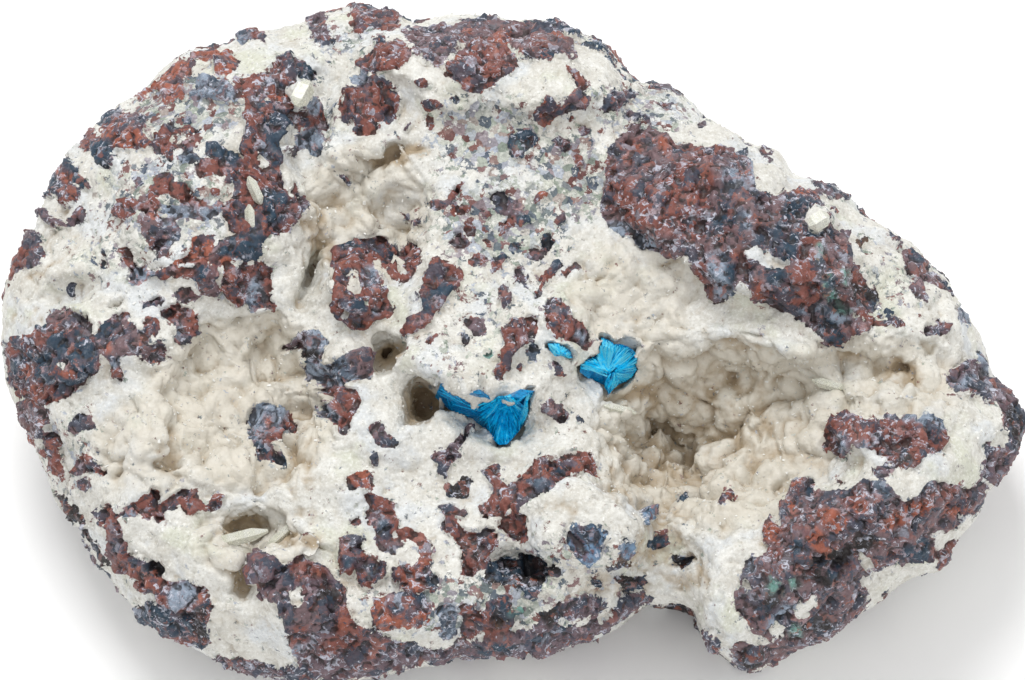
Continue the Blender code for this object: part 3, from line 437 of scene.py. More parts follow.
    ("red", 545, 304, 551, 299, 562, 299, 567, 310, 569, 319, 579, 323, 589, 330, 591, 340, 589, 347,
     580, 345, 568, 337, 557, 337, 549, 330, 547, 318),
    ("pale", 573, 328, 586, 331, 587, 341, 576, 337),
    ("blue", 529, 348, 536, 339, 539, 352, 534, 363, 529, 358),
    ("purple", 549, 360, 556, 357, 563, 368, 563, 377, 553, 373),
    ("red", 519, 364, 524, 361, 525, 370, 520, 371),
    ("purple", 541, 402, 550, 399, 558, 405, 571, 412, 567, 421, 558, 421, 547, 413, 541, 410),
    ("dark", 573, 414, 580, 415, 583, 422, 575, 423),
    ("red", 425, 340, 438, 331, 441, 336, 430, 343),
    ("purple", 461, 318, 470, 315, 482, 317, 489, 326, 485, 335, 476, 335, 467, 328),
    ("blue", 463, 334, 472, 335, 471, 347, 464, 345),
    ("teal", 485, 350, 490, 347, 493, 354, 487, 357),
    ("purple", 369, 426, 382, 423, 387, 434, 395, 444, 384, 445, 373, 438),
    ("dark", 391, 436, 400, 441, 399, 447, 392, 443),
    ("purple", 435, 456, 448, 447, 460, 437, 470, 427, 475, 431, 465, 443, 453, 457, 446, 465, 439, 462),
    ("red", 343, 428, 353, 425, 351, 435, 343, 433),
    # Bottom left
    ("red", 71, 470, 80, 457, 92, 451, 99, 456, 103, 464, 113, 470, 109, 475, 96, 471, 88, 473, 77, 475),
    ("blue", 84, 466, 96, 461, 99, 470, 88, 473),
    ("mottled", 78, 478, 92, 475, 97, 486, 88, 491, 79, 487),
    ("dark", 54, 484, 64, 493, 74, 503, 84, 519, 96, 539, 104, 551, 113, 565, 104, 563, 91, 546, 79, 526,
     67, 508, 57, 494),
    ("red", 97, 516, 104, 507, 116, 499, 119, 508, 121, 518, 112, 527, 101, 522),
    ("red", 111, 526, 120, 521, 125, 532, 131, 542, 129, 550, 137, 554, 149, 557, 157, 562, 150, 573,
     140, 575, 128, 573, 117, 567, 111, 556, 109, 544),
    ("mottled", 112, 530, 124, 530, 128, 544, 122, 558, 112, 552),
    ("pale", 121, 516, 132, 505, 143, 504, 139, 512, 130, 519),
    ("red", 135, 502, 146, 495, 150, 489, 159, 494, 159, 502, 167, 514, 162, 521, 156, 515, 148, 517,
     142, 511, 137, 510),
    ("red", 159, 504, 172, 497, 186, 489, 200, 487, 205, 496, 211, 504, 207, 511, 196, 511, 184, 505,
     172, 507, 163, 511),
    ("red", 211, 500, 218, 491, 227, 494, 223, 502, 214, 507),
    ("dark", 145, 570, 154, 561, 164, 559, 169, 570, 160, 577, 149, 577),
    ("red", 137, 580, 150, 573, 164, 575, 176, 577, 190, 577, 205, 584, 213, 592, 207, 601, 196, 607,
     182, 601, 169, 597, 156, 593, 143, 590),
    ("pale", 175, 580, 190, 577, 201, 586, 199, 599, 184, 601, 173, 592),
    ("blue", 135, 606, 160, 601, 180, 601, 196, 605, 213, 599, 215, 607, 209, 620, 212, 636, 207, 645,
     190, 643, 169, 637, 153, 627, 142, 615),
    ("orange", 175, 602, 186, 599, 189, 606, 180, 611),
    ("dark", 199, 606, 213, 603, 209, 622, 210, 638, 196, 633, 195, 616),
    ("red", 169, 628, 190, 631, 201, 640, 186, 645, 171, 637),
    ("purple", 249, 556, 262, 551, 272, 553, 284, 561, 296, 555, 310, 555, 323, 559, 333, 568, 342, 580,
     350, 590, 352, 612, 372, 632, 400, 637, 440, 647, 480, 637, 520, 629, 560, 613, 600, 601, 640, 589,
     656, 594, 643, 605, 627, 616, 594, 634, 544, 649, 517, 653, 463, 656, 420, 662, 385, 672, 345, 676,
     290, 677, 251, 670, 215, 657, 222, 650, 250, 657, 280, 665, 300, 661, 296, 641, 289, 620, 283, 606,
     279, 597, 262, 597, 257, 580),
    ("red", 284, 564, 300, 556, 322, 560, 330, 570, 312, 576, 296, 578),
    (CREAM, 289, 590, 298, 581, 306, 588, 305, 602, 293, 606),
    ("mottled", 290, 606, 312, 598, 330, 604, 334, 622, 318, 632, 300, 622),
    ("red", 289, 634, 298, 623, 309, 625, 313, 636, 309, 647, 298, 649, 289, 643),
    ("pale", 292, 646, 307, 646, 304, 653, 295, 653),
    ("red", 321, 600, 336, 589, 350, 600, 354, 612, 340, 617, 329, 611),
    ("red", 325, 640, 340, 633, 360, 632, 366, 644, 356, 656, 336, 661, 323, 651),
    ("dark", 318, 584, 334, 580, 344, 592, 334, 600, 322, 598),
    # Bottom middle
    ("orange", 349, 474, 358, 469, 372, 471, 377, 480, 366, 485, 356, 487, 350, 482),
    ("blue", 349, 478, 356, 480, 357, 489, 351, 487),
    ("red", 363, 490, 372, 487, 384, 497, 397, 502, 393, 511, 382, 505, 369, 499),
    ("purple", 371, 452, 378, 451, 377, 463, 371, 462),
    ("red", 369, 510, 378, 503, 392, 505, 399, 516, 401, 526, 395, 537, 386, 543, 377, 541, 379, 529,
     371, 520),
    ("pale", 380, 516, 392, 518, 392, 530, 382, 528),
    ("red", 351, 516, 360, 513, 363, 522, 354, 525),
    ("mottled", 343, 530, 358, 529, 369, 534, 363, 545, 352, 545, 339, 556),
    ("red", 339, 556, 350, 545, 362, 539, 367, 548, 361, 560, 352, 573, 341, 571),
    ("blue", 342, 558, 352, 548, 358, 554, 352, 568, 344, 568),
    ("red", 399, 532, 408, 527, 420, 531, 431, 540, 435, 550, 431, 561, 422, 567, 411, 565, 423, 556,
     421, 546, 411, 540, 401, 538),
    ("mottled", 379, 536, 392, 539, 400, 537, 405, 546, 396, 551, 383, 548),
    ("red", 357, 568, 364, 557, 376, 555, 387, 562, 387, 573, 378, 583, 368, 585, 359, 578),
    ("blue", 363, 564, 378, 559, 385, 566, 374, 573),
    ("red", 391, 574, 400, 561, 411, 561, 411, 572, 402, 579, 393, 581),
    ("orange", 407, 570, 420, 561, 431, 561, 435, 572, 431, 583, 420, 591, 409, 593, 401, 588, 403, 578),
    ("blue", 423, 576, 435, 569, 439, 580, 435, 589, 425, 586),
    ("orange", 371, 606, 380, 597, 392, 599, 404, 597, 420, 599, 433, 597, 435, 608, 427, 619, 412, 625,
     396, 627, 381, 625, 373, 616),
    ("blue", 389, 596, 406, 593, 409, 608, 398, 611, 389, 604),
    ("blue", 411, 593, 425, 593, 425, 603, 413, 603),
    ("red", 338, 612, 350, 609, 361, 620, 369, 632, 363, 643, 348, 641, 339, 630),
    (CREAM, 374, 588, 382, 579, 392, 581, 401, 590, 392, 595, 384, 599, 375, 597),
    (CREAM, 350, 586, 364, 582, 374, 592, 370, 610, 360, 606),
    ("dark", 445, 480, 456, 484, 466, 475, 473, 480, 471, 489, 460, 493, 449, 493),
    ("purple", 429, 456, 440, 449, 452, 449, 463, 456, 453, 463, 447, 475, 437, 473, 439, 462),
    ("red", 483, 468, 498, 465, 501, 478, 508, 484, 520, 475, 530, 463, 542, 457, 556, 457, 566, 449,
     578, 447, 591, 451, 595, 460, 601, 472, 598, 477, 586, 471, 570, 473, 561, 477, 553, 485, 541, 493,
     529, 501, 520, 507, 508, 507, 501, 515, 490, 515, 479, 511, 477, 502, 489, 496, 493, 488, 487, 478),
    ("pale", 529, 478, 548, 477, 553, 486, 538, 491),
    ("blue", 553, 466, 562, 463, 567, 472, 558, 477),
    ("red", 499, 516, 510, 511, 520, 507, 529, 512, 527, 522, 529, 537, 520, 539, 512, 535, 505, 531,
     499, 524),
    ("mottled", 439, 504, 452, 501, 462, 507, 469, 514, 458, 517, 447, 513),
    ("red", 439, 520, 450, 515, 458, 521, 468, 529, 476, 529, 486, 527, 501, 529, 499, 543, 489, 553,
     483, 565, 474, 573, 464, 573, 455, 565, 463, 556, 465, 546, 455, 540, 447, 534, 441, 528),
    ("dark", 468, 540, 478, 535, 481, 548, 476, 559, 469, 554),
    (CREAM, 436, 560, 437, 551, 448, 549, 456, 545, 463, 552, 459, 562, 465, 574, 475, 579, 466, 587,
     456, 585, 445, 577, 437, 572),
    (CREAM, 425, 534, 436, 529, 447, 534, 447, 545, 434, 547, 427, 540),
    ("dark", 483, 568, 491, 556, 510, 551, 530, 547, 547, 551, 557, 560, 561, 569, 556, 580, 548, 591,
     536, 593, 520, 585, 500, 577, 485, 577),
    (CREAM, 484, 562, 496, 551, 516, 545, 536, 545, 552, 555, 561, 566, 548, 561, 530, 555, 510, 557,
     494, 563),
    (CREAM, 548, 572, 566, 574, 576, 586, 564, 600, 548, 600, 540, 588),
    ("steel", 566, 524, 574, 519, 580, 525, 592, 523, 605, 529, 611, 536, 603, 543, 599, 553, 592, 559,
     579, 557, 573, 549, 567, 543, 565, 532),
    ("red", 575, 521, 583, 525, 579, 531),
    ("blue", 590, 540, 598, 534, 604, 540, 598, 548),
    ("pale", 643, 508, 652, 503, 655, 514, 646, 521),
    ("pale", 617, 542, 626, 535, 633, 542, 631, 551, 619, 551),
    ("blue", 645, 542, 656, 535, 665, 536, 663, 545, 652, 549),
    ("red", 653, 530, 663, 527, 661, 537),
    ("dark", 667, 552, 676, 551, 687, 558, 691, 564, 680, 567, 669, 562),
    ("brown", 605, 562, 616, 555, 627, 552, 622, 561, 612, 567, 606, 567),
    ("blue", 583, 574, 596, 575, 605, 580, 594, 583),
    ("blue", 617, 578, 632, 575, 641, 571, 647, 578, 636, 585, 621, 587),
    (CREAM, 605, 584, 620, 587, 619, 599, 606, 603, 597, 595),
    (CREAM, 560, 614, 574, 609, 591, 613, 584, 623, 570, 625, 560, 620),
    (CREAM, 596, 612, 608, 605, 619, 608, 610, 617, 598, 619),
    ("red", 479, 606, 490, 601, 504, 603, 513, 612, 515, 622, 507, 633, 494, 635, 483, 629, 477, 618),
    ("pale", 439, 606, 450, 601, 459, 610, 459, 622, 453, 632, 459, 639, 448, 641, 439, 631, 443, 618),
    ("red", 459, 604, 474, 601, 479, 616, 477, 630, 466, 641, 459, 633, 463, 620),
    ("teal", 506, 606, 524, 604, 526, 614, 508, 616),
    ("orange", 340, 612, 350, 614, 352, 626, 342, 626),
    ("blue", 482, 563, 498, 556, 520, 552, 540, 557, 553, 566, 545, 573, 520, 571, 498, 575),
    ("dark", 500, 561, 514, 557, 526, 563, 512, 569),
    ("blue", 489, 601, 504, 592, 515, 598, 508, 610, 494, 612),
    ("blue", 519, 585, 534, 580, 543, 588, 530, 597), ("dark", 540, 611, 555, 603, 567, 612, 550, 622),
    ("purple", 560, 601, 584, 590, 601, 596, 590, 610, 566, 616),
    ("dark", 611, 574, 629, 571, 637, 581, 620, 587),
    ("blue", 476, 641, 500, 633, 521, 640, 510, 651, 480, 650),
    ("brown", 490, 614, 506, 608, 513, 620, 498, 628),
    ("blue", 530, 633, 550, 625, 571, 622, 560, 636, 536, 644),
    ("steel", 644, 506, 653, 504, 652, 518, 644, 523), ("steel", 621, 540, 631, 537, 631, 550, 622, 551),
    ("blue", 648, 541, 664, 532, 666, 543, 652, 548),
)

# Where the druse lies in hollows, and how strongly its rounded lumps stand out: x, y, half length,
# half width and share
HOLLOWS = (
    (715, 432, 130, 104, 1.0), (856, 380, 130, 52, 0.8), (366, 216, 72, 80, 0.8), (250, 400, 112, 96, 1.0),
    (252, 540, 62, 50, 0.7), (630, 300, 70, 70, 0.8), (60, 290, 60, 36, 0.4), (226, 625, 34, 28, 0.5),
    (150, 445, 60, 60, 0.8), (930, 340, 46, 60, 0.4),
)

# Where the druse is browned, partly by iron stain and partly as painted shade in its shadowed hollows:
# x, y, half length, half width, turn in degrees and share
SHADE_AND_STAINS = (
    (672, 455, 70, 72, 20, 0.7), (715, 420, 110, 85, 0, 0.62), (850, 355, 26, 12, -25, 0.5),
    (900, 372, 34, 20, 0, 0.9), (400, 158, 46, 14, 14, 0.9), (318, 240, 26, 60, 8, 0.7),
    (350, 215, 50, 50, 0, 0.30), (305, 460, 22, 60, 0, 0.6), (172, 450, 24, 44, 0, 0.55),
    (244, 526, 34, 20, 12, 1.0), (240, 578, 20, 26, 0, 0.7), (306, 538, 36, 12, -8, 1.0),
    (60, 268, 50, 14, 20, 0.45), (30, 315, 30, 16, 0, 0.45), (80, 235, 30, 14, -20, 0.3),
    (422, 402, 28, 30, 0, 1.1), (390, 354, 20, 14, 40, 1.4), (640, 392, 44, 14, 0, 0.8),
    (740, 342, 60, 14, -14, 0.5), (686, 570, 40, 30, 0, 0.6), (640, 560, 40, 30, 0, 0.3),
    (255, 380, 50, 30, 0, 0.25), (560, 505, 26, 20, 0, 0.35), (655, 535, 50, 46, 0, 0.62),
    (600, 585, 60, 26, 0, 0.45), (790, 455, 40, 14, -20, 0.4),
    (630, 475, 60, 44, 0, 0.5), (330, 600, 40, 30, 0, 0.3),
)

# Shadowed openings that go deeper than the frame's hollows: x, y, half length, half width, turn in
# degrees and depth in mm
PITS = (
    (389, 354, 16, 11, 40, 1.6), (428, 402, 18, 24, -10, 0.9), (412, 414, 16, 12, 30, 0.7),
    (118, 304, 10, 4, 40, 0.9), (158, 567, 12, 7, 0, 1.2), (902, 371, 12, 7, 0, 1.0),
    (862, 239, 6, 5, 0, 0.6), (682, 559, 10, 6, 10, 1.0), (622, 396, 20, 6, -6, 1.2),
    (390, 154, 38, 6, 12, 1.2), (316, 280, 12, 24, -8, 0.9), (172, 446, 8, 30, 0, 1.0),
    (242, 524, 24, 12, 10, 0.9), (308, 537, 30, 7, -10, 1.2), (236, 576, 12, 18, 0, 0.3),
    (520, 566, 32, 12, 6, 0.6), (57, 391, 3, 8, -30, 0.8), (842, 560, 18, 10, 20, 0.8),
    (742, 330, 24, 6, -20, 0.6), (640, 470, 22, 24, 20, 0.8), (300, 300, 12, 8, 0, 0.6),
)

# Hollows of the frame that are filled up in part, in the same way
FILLS = (
    (666, 448, 56, 46, 10, 1.9), (316, 276, 12, 30, -10, 1.0), (246, 522, 30, 14, 8, 0.9),
    (236, 578, 16, 20, 0, 0.9), (468, 385, 14, 7, -25, 1.7),
)

# Where the bed of a spray lies deeper still, in the same way
BED_PITS = ((458, 402, 26, 9, -20, 0.9),)

# Where the ovals above fade out, in parts of their reach, and how far in pixels their edges waver
HOLLOW_FADE = (0.75, 1.10)
SHADE_AND_STAIN_FADE = (0.20, 1.15)
PIT_FADE = (0.0, 1.35)
SPECKLE_FADE = (0.30, 1.15)
PIT_WARP = 9.0

# Where the zeolite is stippled with dark and green specks: x, y, half length, half width and share
SPECKLES = (
    (490, 140, 75, 50, 1.0), (570, 175, 60, 60, 0.9), (500, 225, 90, 60, 0.9), (480, 300, 90, 60, 0.35),
    (640, 110, 70, 40, 0.7), (455, 350, 60, 50, 0.3), (420, 520, 110, 90, 0.15), (190, 110, 80, 50, 0.9),
    (170, 200, 90, 60, 0.8), (130, 255, 90, 50, 0.4), (560, 560, 90, 50, 0.5), (880, 290, 70, 60, 0.4),
    (345, 40, 50, 30, 0.5), (60, 450, 60, 60, 0.4), (480, 600, 150, 40, 0.8), (320, 130, 30, 50, 0.5),
)

# The blue sprays' outlines, each with a tone that isn't used
SPRAY_SHAPES = (
    ("blue", 433, 385, 447, 384, 460, 392, 470, 400, 479, 408, 483, 402, 491, 398, 500, 400, 508, 400,
     516, 401, 522, 396, 527, 388, 534, 385, 533, 392, 528, 404, 525, 414, 522, 425, 516, 436, 504, 446,
     497, 441, 487, 430, 478, 419, 468, 413, 452, 413, 442, 411, 438, 398),
    ("blue", 601, 334, 611, 334, 613, 343, 624, 346, 636, 355, 640, 368, 634, 380, 620, 387, 608, 393,
     603, 386, 594, 378, 582, 372, 578, 366, 586, 358, 596, 352, 599, 343),
    ("blue", 545, 344, 553, 342, 562, 345, 571, 353, 572, 361, 565, 359, 557, 350, 546, 349),
)

# How low in mm the relief lies in those outlines and how high it stands around them, where each
# begins and ends as a share of the blurred outlines, how far in pixels their edges waver, and how
# high the ring is on the whole and how unevenly
BED_DROP = 0.85
RING_RISE = 0.50
BED_BLUR = 2
BED_FADE = (0.12, 0.45)
RING_BLUR = 40
RING_FADE = (0.06, 0.35)
SPRAY_WARP = 3.5
RING_SHARE = (0.7, 0.6)

# Noise: the size of its forms in mm, its layers and its seed
NOISES = {
    "hidden": (3.0, 3, 40),
    "edge across": (1.6, 3, 61),
    "edge down": (1.6, 3, 67),
    "seen": (3.0, 1, 71),
    "stray": (1.0, 3, 73),
    "bare": (1.1, 3, 79),
    "pit across": (1.7, 3, 81),
    "pit down": (1.7, 3, 83),
    "lump": (2.0, 1, 90),
    "swell": (5.0, 3, 93),
    "rugged": (2.2, 4, 113),
    "drift": (4.0, 2, 141),
    "spray": (1.2, 3, 151),
    "ring": (1.6, 2, 157),
}

# The fine relief that grows from cells, each the size of its forms and their height in mm and its
# seed: zeolite's rounded lumps, beads and grains, basalt's chipped faces, large and small, and its
# vesicles
LUMPS = (2.3, 1.70, 97)
BEADS = (0.95, 0.62, 103)
GRAINS = (0.42, 0.16, 107)
CHIPS = (1.5, 0.40, 127)
SMALL_CHIPS = (0.675, 0.18, 131)
VESICLES = (1.3, 0.34, 137)

# The height in mm of zeolite's swells and basalt's ruggedness, how far in mm druse and the cells of
# its lumps are drawn out of shape, how round the caps of the lumps are and where they are level, and
# how strong the beads are where there is no druse
SWELL = 0.50
RUGGED = 0.60
DRIFT = 0.6
LUMP_WARP = 0.5
CAP = 0.60
CAP_LEVEL = 0.5
LEAST_BEADS = 0.35

# The share of cells with a vesicle, and where its rim lies
VESICLE_SHARE = 0.35
VESICLE_RIM = (0.12, 0.40)

# How far in mm basalt stands out and the whole is sunk, how much flatter basalt is where it turns
# away at the rim, and the least druse anywhere
CLAST_RISE = 0.15
WHOLE_SINK = 0.12
RIM_CALM = 0.40
LEAST_DRUSE = 0.22

# Where each of these comes in: by how squarely the surface faces the photo, from -1 to 1, by the
# share of basalt, and by the height in metres over the face that the specimen rests on
RIM_FACING = (0.10, 0.50)
DRUSE_FACING = (-0.1, 0.3)
SHADE_AND_STAIN_FACING = (-0.2, 0.2)
PIT_FACING = (0.0, 0.3)
STONE_EDGE = (0.30, 0.75)
REST_RISE = (0.0, 0.6 * MM)

# The drawn clasts: how far in pixels their edges waver, how often the map of them is blurred, the
# strays around them, the bare places in them, and where the face turns out of the photo's sight
RAGGED = 2.6
EDGE_BLURS = (2, 5)
AROUND_BLUR = 11
AROUND_TINT = 0.05
LEAST_TINT = 1e-4
STRAY_SHARE = 0.9
STRAY_NOISE = (0.12, 0.26)
STRAY_NEAR = (0.08, 0.30)
BARE_NOISE = (0.20, 0.34)
BARE_NEAR = (0.15, 0.50)
SEEN_FACING = (-0.10, 0.10)
SEEN_WAVER = 0.10
RIM_SPECKLE = 0.35
RIM_NEAR = (0.02, 0.35)

# Hidden clasts, large and small: the size of their cells in mm, their seed, the share of the cells
# that is basalt, where their rims lie and how far in mm they waver
HIDDEN_CLASTS = (
    (7.0, 51, 0.62, (0.10, 0.22), 1.1),
    (2.8, 57, 0.30, (0.12, 0.26), 0.6),
)
HIDDEN_TONES = ("mottled", "red", "purple", "blue", "red", "mottled", "orange", "dark")

# Strewn crystals: how many there are, their length in mm before it is raised to a power, their width
# and depth as shares of it, how far they are sunk, how narrow their ends are, and how far they lean
# and shear
GRAIN_COUNT = 6000
GRAIN_LENGTH = (0.22, 0.50)
GRAIN_POWER = 1.5
GRAIN_WIDTH = (0.45, 0.80)
GRAIN_DEPTH = (0.28, 0.60)
GRAIN_SUNK = 0.66
GRAIN_TAPER = (0.35, 0.95)
GRAIN_LEAN = 0.9
GRAIN_SHEAR = (-0.5, 0.5)
GRAIN_PIECES = 2
GRAIN_SEED = 7

# How thickly the crystals stand on basalt and under the lump beside elsewhere, how much smaller they
# are on basalt, and where each begins and ends
GRAINS_ON_BASALT = 0.04
GRAINS_HIDDEN = 0.25
GRAIN_SHRINK = 0.45
GRAIN_STONE = (0.30, 0.70)
GRAIN_FACING = (-0.1, 0.3)
GRAIN_RISE = (0.4 * MM, 1.2 * MM)

# A box of corners and faces that each crystal is made from
BOX = np.array([(x, y, z) for z in (0, 1) for y in (-1, 1) for x in (-1, 1)], float)
BOX_FACES = np.array([(0, 2, 3, 1), (4, 5, 7, 6), (0, 1, 5, 4), (2, 6, 7, 3), (0, 4, 6, 2), (1, 3, 7, 5)])

# Each fan of fibres: the frame's node, how bright it is, the number of fibres, the pixel they spread
# from and the pixels along their tips. The left spray's wing is the least bright: painted shade where
# it lies in a recess.
FANS = (
    ("cavansite_left", 0.02, 190, (482, 413), ((447, 385), (438, 384), (433, 388), (438, 400), (443, 411))),
    ("cavansite_left", 0.00, 130, (481, 412), ((443, 411), (454, 413), (466, 412))),
    ("cavansite_left", 0.50, 300, (505, 394),
     ((476, 404), (478, 417), (488, 429), (498, 441), (504, 446), (515, 437), (521, 424), (527, 406))),
    ("cavansite_left", 0.35, 110, (503, 410), ((482, 404), (491, 399), (507, 397), (519, 400), (527, 394))),
    ("cavansite_left", 0.75, 60, (521, 426), ((526, 396), (530, 387), (535, 390))),
    ("cavansite_right", 0.90, 300, (606, 372),
     ((578, 368), (584, 360), (595, 357), (600, 348), (603, 334), (611, 336), (613, 344), (624, 346),
      (636, 354))),
    ("cavansite_right", 0.65, 230, (614, 373),
     ((633, 352), (639, 362), (638, 371), (631, 380), (617, 386), (607, 393), (602, 386))),
    ("cavansite_sliver", 0.95, 60, (560, 356), ((546, 347), (549, 343), (560, 344), (570, 352), (571, 360))),
)

# A fibre's stations along its length, its half width in mm and as shares of it at each station, how
# much deeper than wide it is, how high in mm it lies, and where it starts and ends along its way
FIBRE_STATIONS = 5
FIBRE_TAPER = (0.7, 1.0, 0.95, 0.75, 0.25)
FIBRE_DEPTH = 1.3
FIBRE_HALF_WIDTH = (0.05, 0.12)
FIBRE_LIFT = (-0.04, 0.34)
FIBRE_START = (0.02, 0.45)
FIBRE_END = (0.72, 1.12)

# How far in pixels the roots spread, how unlike the shades are, that of the node's body, and the
# height in mm that the lines of sight start from
ROOT_SPREAD = 2.0
SHADE_SPREAD = 0.26
BODY_SHADE = 0.1
FIBRE_SEED = 11
SIGHT_HEIGHT = 40.0

# Single pale crystals: x, y, height over the surface in mm, half length, half width and half
# thickness in mm, turn, lean and roll in degrees
LATHS = {
    "pale_blades": (
        (237, 537, 0.50, 3.1, 0.62, 0.32, 14, 5, 18), (285, 532, 0.50, 2.0, 0.48, 0.28, 40, 8, 30),
        (619, 409, 0.30, 1.5, 0.42, 0.24, -14, 10, 20), (828, 385, 0.45, 1.7, 0.46, 0.28, -16, 6, 20),
        (257, 192, 0.20, 1.4, 0.50, 0.28, -66, 8, 20), (252, 219, 0.20, 1.2, 0.46, 0.28, -88, 8, 20),
    ),
    "pale_rhombs": (
        (304, 95, 0.45, 1.35, 0.85, 0.60, 62, 22, 14), (816, 222, 0.40, 1.05, 0.80, 0.55, 30, 16, 10),
        (615, 365, 0.40, 0.45, 0.36, 0.26, 55, 8, 10), (611, 371, 0.38, 0.50, 0.30, 0.24, 58, 4, 30),
        (607, 378, 0.36, 0.42, 0.28, 0.22, 62, 6, 50),
    ),
}
LATH_TIP = 0.55
LATH_END = 0.25
LATH_SEED = 13

# Colours as sRGB: zeolite's creams, the tans of its recesses, which are painted shade as well as
# stain, and its sugary crystals
CREAM_BRIGHT = (238, 237, 231)
CREAM_LIGHT = (219, 218, 212)
CREAM_MID = (197, 194, 185)
CREAM_COOL = (206, 209, 210)
CREAM_GREEN = (202, 203, 188)
CREAM_WARM = (206, 200, 187)
SHADE_AND_STAIN_TAN = (170, 153, 128)
DEEP_SHADE_AND_STAIN_TAN = (104, 82, 58)
SUGAR_HIGH = (240, 240, 236)
SUGAR_LOW = (176, 170, 156)

# Fragments in the zeolite, and basalt's facets, slate patches and flecks
RUBBLE = (
    (110, 70, 66), (170, 178, 190), (206, 208, 196), (74, 86, 104), (150, 160, 146), (206, 208, 200),
    (128, 84, 78), (180, 186, 196),
)
PALE_FLECK = (200, 203, 216)
FACETS = (
    (52, 64, 82), (150, 88, 72), (72, 86, 106), (40, 36, 40), (178, 184, 200), (168, 100, 78), (120, 94, 94),
)
SLATE = (38, 58, 76)

# The blue sprays, and the pale crystals with their clouds
DEEP_BLUE = (0, 104, 158)
AZURE = (0, 156, 214)
BRIGHT_AZURE = (8, 198, 244)
PALE_AZURE = (96, 206, 234)
PALE_CRYSTAL = (222, 222, 204)
PALE_CLOUD = (236, 236, 226)

# Where noise stops at its low and high roughness, the least and the greatest that noise of facets
# reaches, how patchy the tan is, how far the flecks swirl, how much they crowd in their zones, how
# much specks crowd the zeolite, and how far the edge between basalt and zeolite is broken up
GLOSS_STOPS = (0.35, 0.65)
FACET_REACH = (0.16, 0.84)
HOLLOW_PATCHES = 2.0
FLECK_CURL = 1.2
FLECK_ZONE = 0.08
SPECKLE_SHARE = 0.26
EDGE_BREAK = 1.7

# The camera's distance and sensor in metres, the pixel it is square to and that one's height in mm
CAMERA_DISTANCE = 1.6
SENSOR = 0.036
FRAME_MIDDLE = (512.5, 340)
FRAME_DEPTH = -4.0
CLIP_END = 10.0

# The studio's floor and sky, and its lights: place, size in metres and power in watts
FLOOR_HALF = 6.0
FLOOR_COLOUR = (252, 252, 252)
SKY_STRENGTH = 0.80
LIGHTS = {
    "key": ((-0.24, 0.64, 1.34), 0.68, 13.6),
    "fill": ((0.60, -0.90, 1.10), 1.20, 3.6),
}


# Places and colours


def linear(colour):
    """An sRGB colour of 0 to 255 as the linear one that shaders take."""
    parts = np.asarray(colour, float) / 255
    return np.where(parts < 0.04045, parts / 12.92, ((parts + 0.055) / 1.055) ** 2.4)


def turned(across, up, out):
    """A direction along the face, up it and out of it, in the world."""
    c, s = math.cos(FACE_LEAN), math.sin(FACE_LEAN)
    return Vector((across, up * c - out * s, up * s + out * c))


FACE_RIGHT, FACE_UP, FACE_OUT = turned(1, 0, 0), turned(0, 1, 0), turned(0, 0, 1)


def lay(x, y, height):
    """The point at pixel x, y of the face and that height in mm off its plane."""
    across, up = (x - POLE[0]) * UNIT, (POLE[1] - y) * UNIT
    return turned(across, up, height * MM) - Vector(ORIGIN)


def face_pixels(points):
    """The pixel x and y of each point, and its height off the face's plane in metres."""
    shifted = points + np.array(ORIGIN)
    across, up, out = (shifted @ np.array(way) for way in (FACE_RIGHT, FACE_UP, FACE_OUT))
    return POLE[0] + across / UNIT, POLE[1] - up / UNIT, out


def ease(values, low, high):
    """0 below low and 1 above high, level at both ends."""
    share = np.clip((values - low) / (high - low), 0, 1)
    return share * share * (3 - 2 * share)


# Noise over arrays of points


def lattice(cells, seed):
    """A settled number from 0 to 1 for each whole-numbered cell."""
    mixed = cells[..., 0] * 73856093 ^ cells[..., 1] * 19349663 ^ cells[..., 2] * 83492791 ^ seed * 1640531513
    mixed = (mixed ^ (mixed >> 15)) * 2246822519 & 0xFFFFFFFF
    mixed = (mixed ^ (mixed >> 13)) * 3266489917 & 0xFFFFFFFF
    return ((mixed ^ (mixed >> 16)) & 0xFFFFFF) / float(0xFFFFFF)


def soft_noise(points, size, seed):
    """Smooth noise from -1 to 1 whose forms are about that size in metres."""
    scaled = points / size
    whole = np.floor(scaled).astype(np.int64)
    part = scaled - whole
    part = part * part * (3 - 2 * part)
    total = np.zeros(len(points))
    for corner in np.ndindex(2, 2, 2):
        weight = np.prod(np.where(corner, part, 1 - part), axis=1)
        total += weight * lattice(whole + np.array(corner), seed)
    return total * 2 - 1


def fractal(points, size, octaves, seed):
    """Layers of soft noise, each half as large and half as strong as the last."""
    layers = (soft_noise(points, size / 2**i, seed + i) / 2**i for i in range(octaves))
    return sum(layers)


def noise(points, name, step=0):
    """The noise of that name at each point, its seed moved on by the step."""
    size, octaves, seed = NOISES[name]
    return fractal(points, size * MM, octaves, seed + step)


def noise_vectors(points, name, step=1):
    """Three noises of that name as a vector at each point."""
    return np.stack([noise(points, name, step * k) for k in range(3)], axis=1)


def cells(points, size, seed):
    """For each point the distance to the nearest cell middle, that to the next one, a number that its
    cell has to itself, and the way from the middle to the point, all in cell sizes."""
    scaled = points / size
    whole = np.floor(scaled).astype(np.int64)
    nearest = np.full(len(points), 9.0)
    second = np.full(len(points), 9.0)
    own = np.zeros(len(points))
    away = np.zeros((len(points), 3))
    for step in np.ndindex(3, 3, 3):
        cell = whole + np.array(step) - 1
        middle = cell + np.stack([lattice(cell, seed + k) for k in range(3)], axis=1)
        offset = scaled - middle
        distance = np.linalg.norm(offset, axis=1)
        closer = distance < nearest
        second = np.where(closer, nearest, np.minimum(second, distance))
        nearest = np.where(closer, distance, nearest)
        own = np.where(closer, lattice(cell, seed + 3), own)
        away[closer] = offset[closer]
    return nearest, second, own, away


# The face map of the clasts


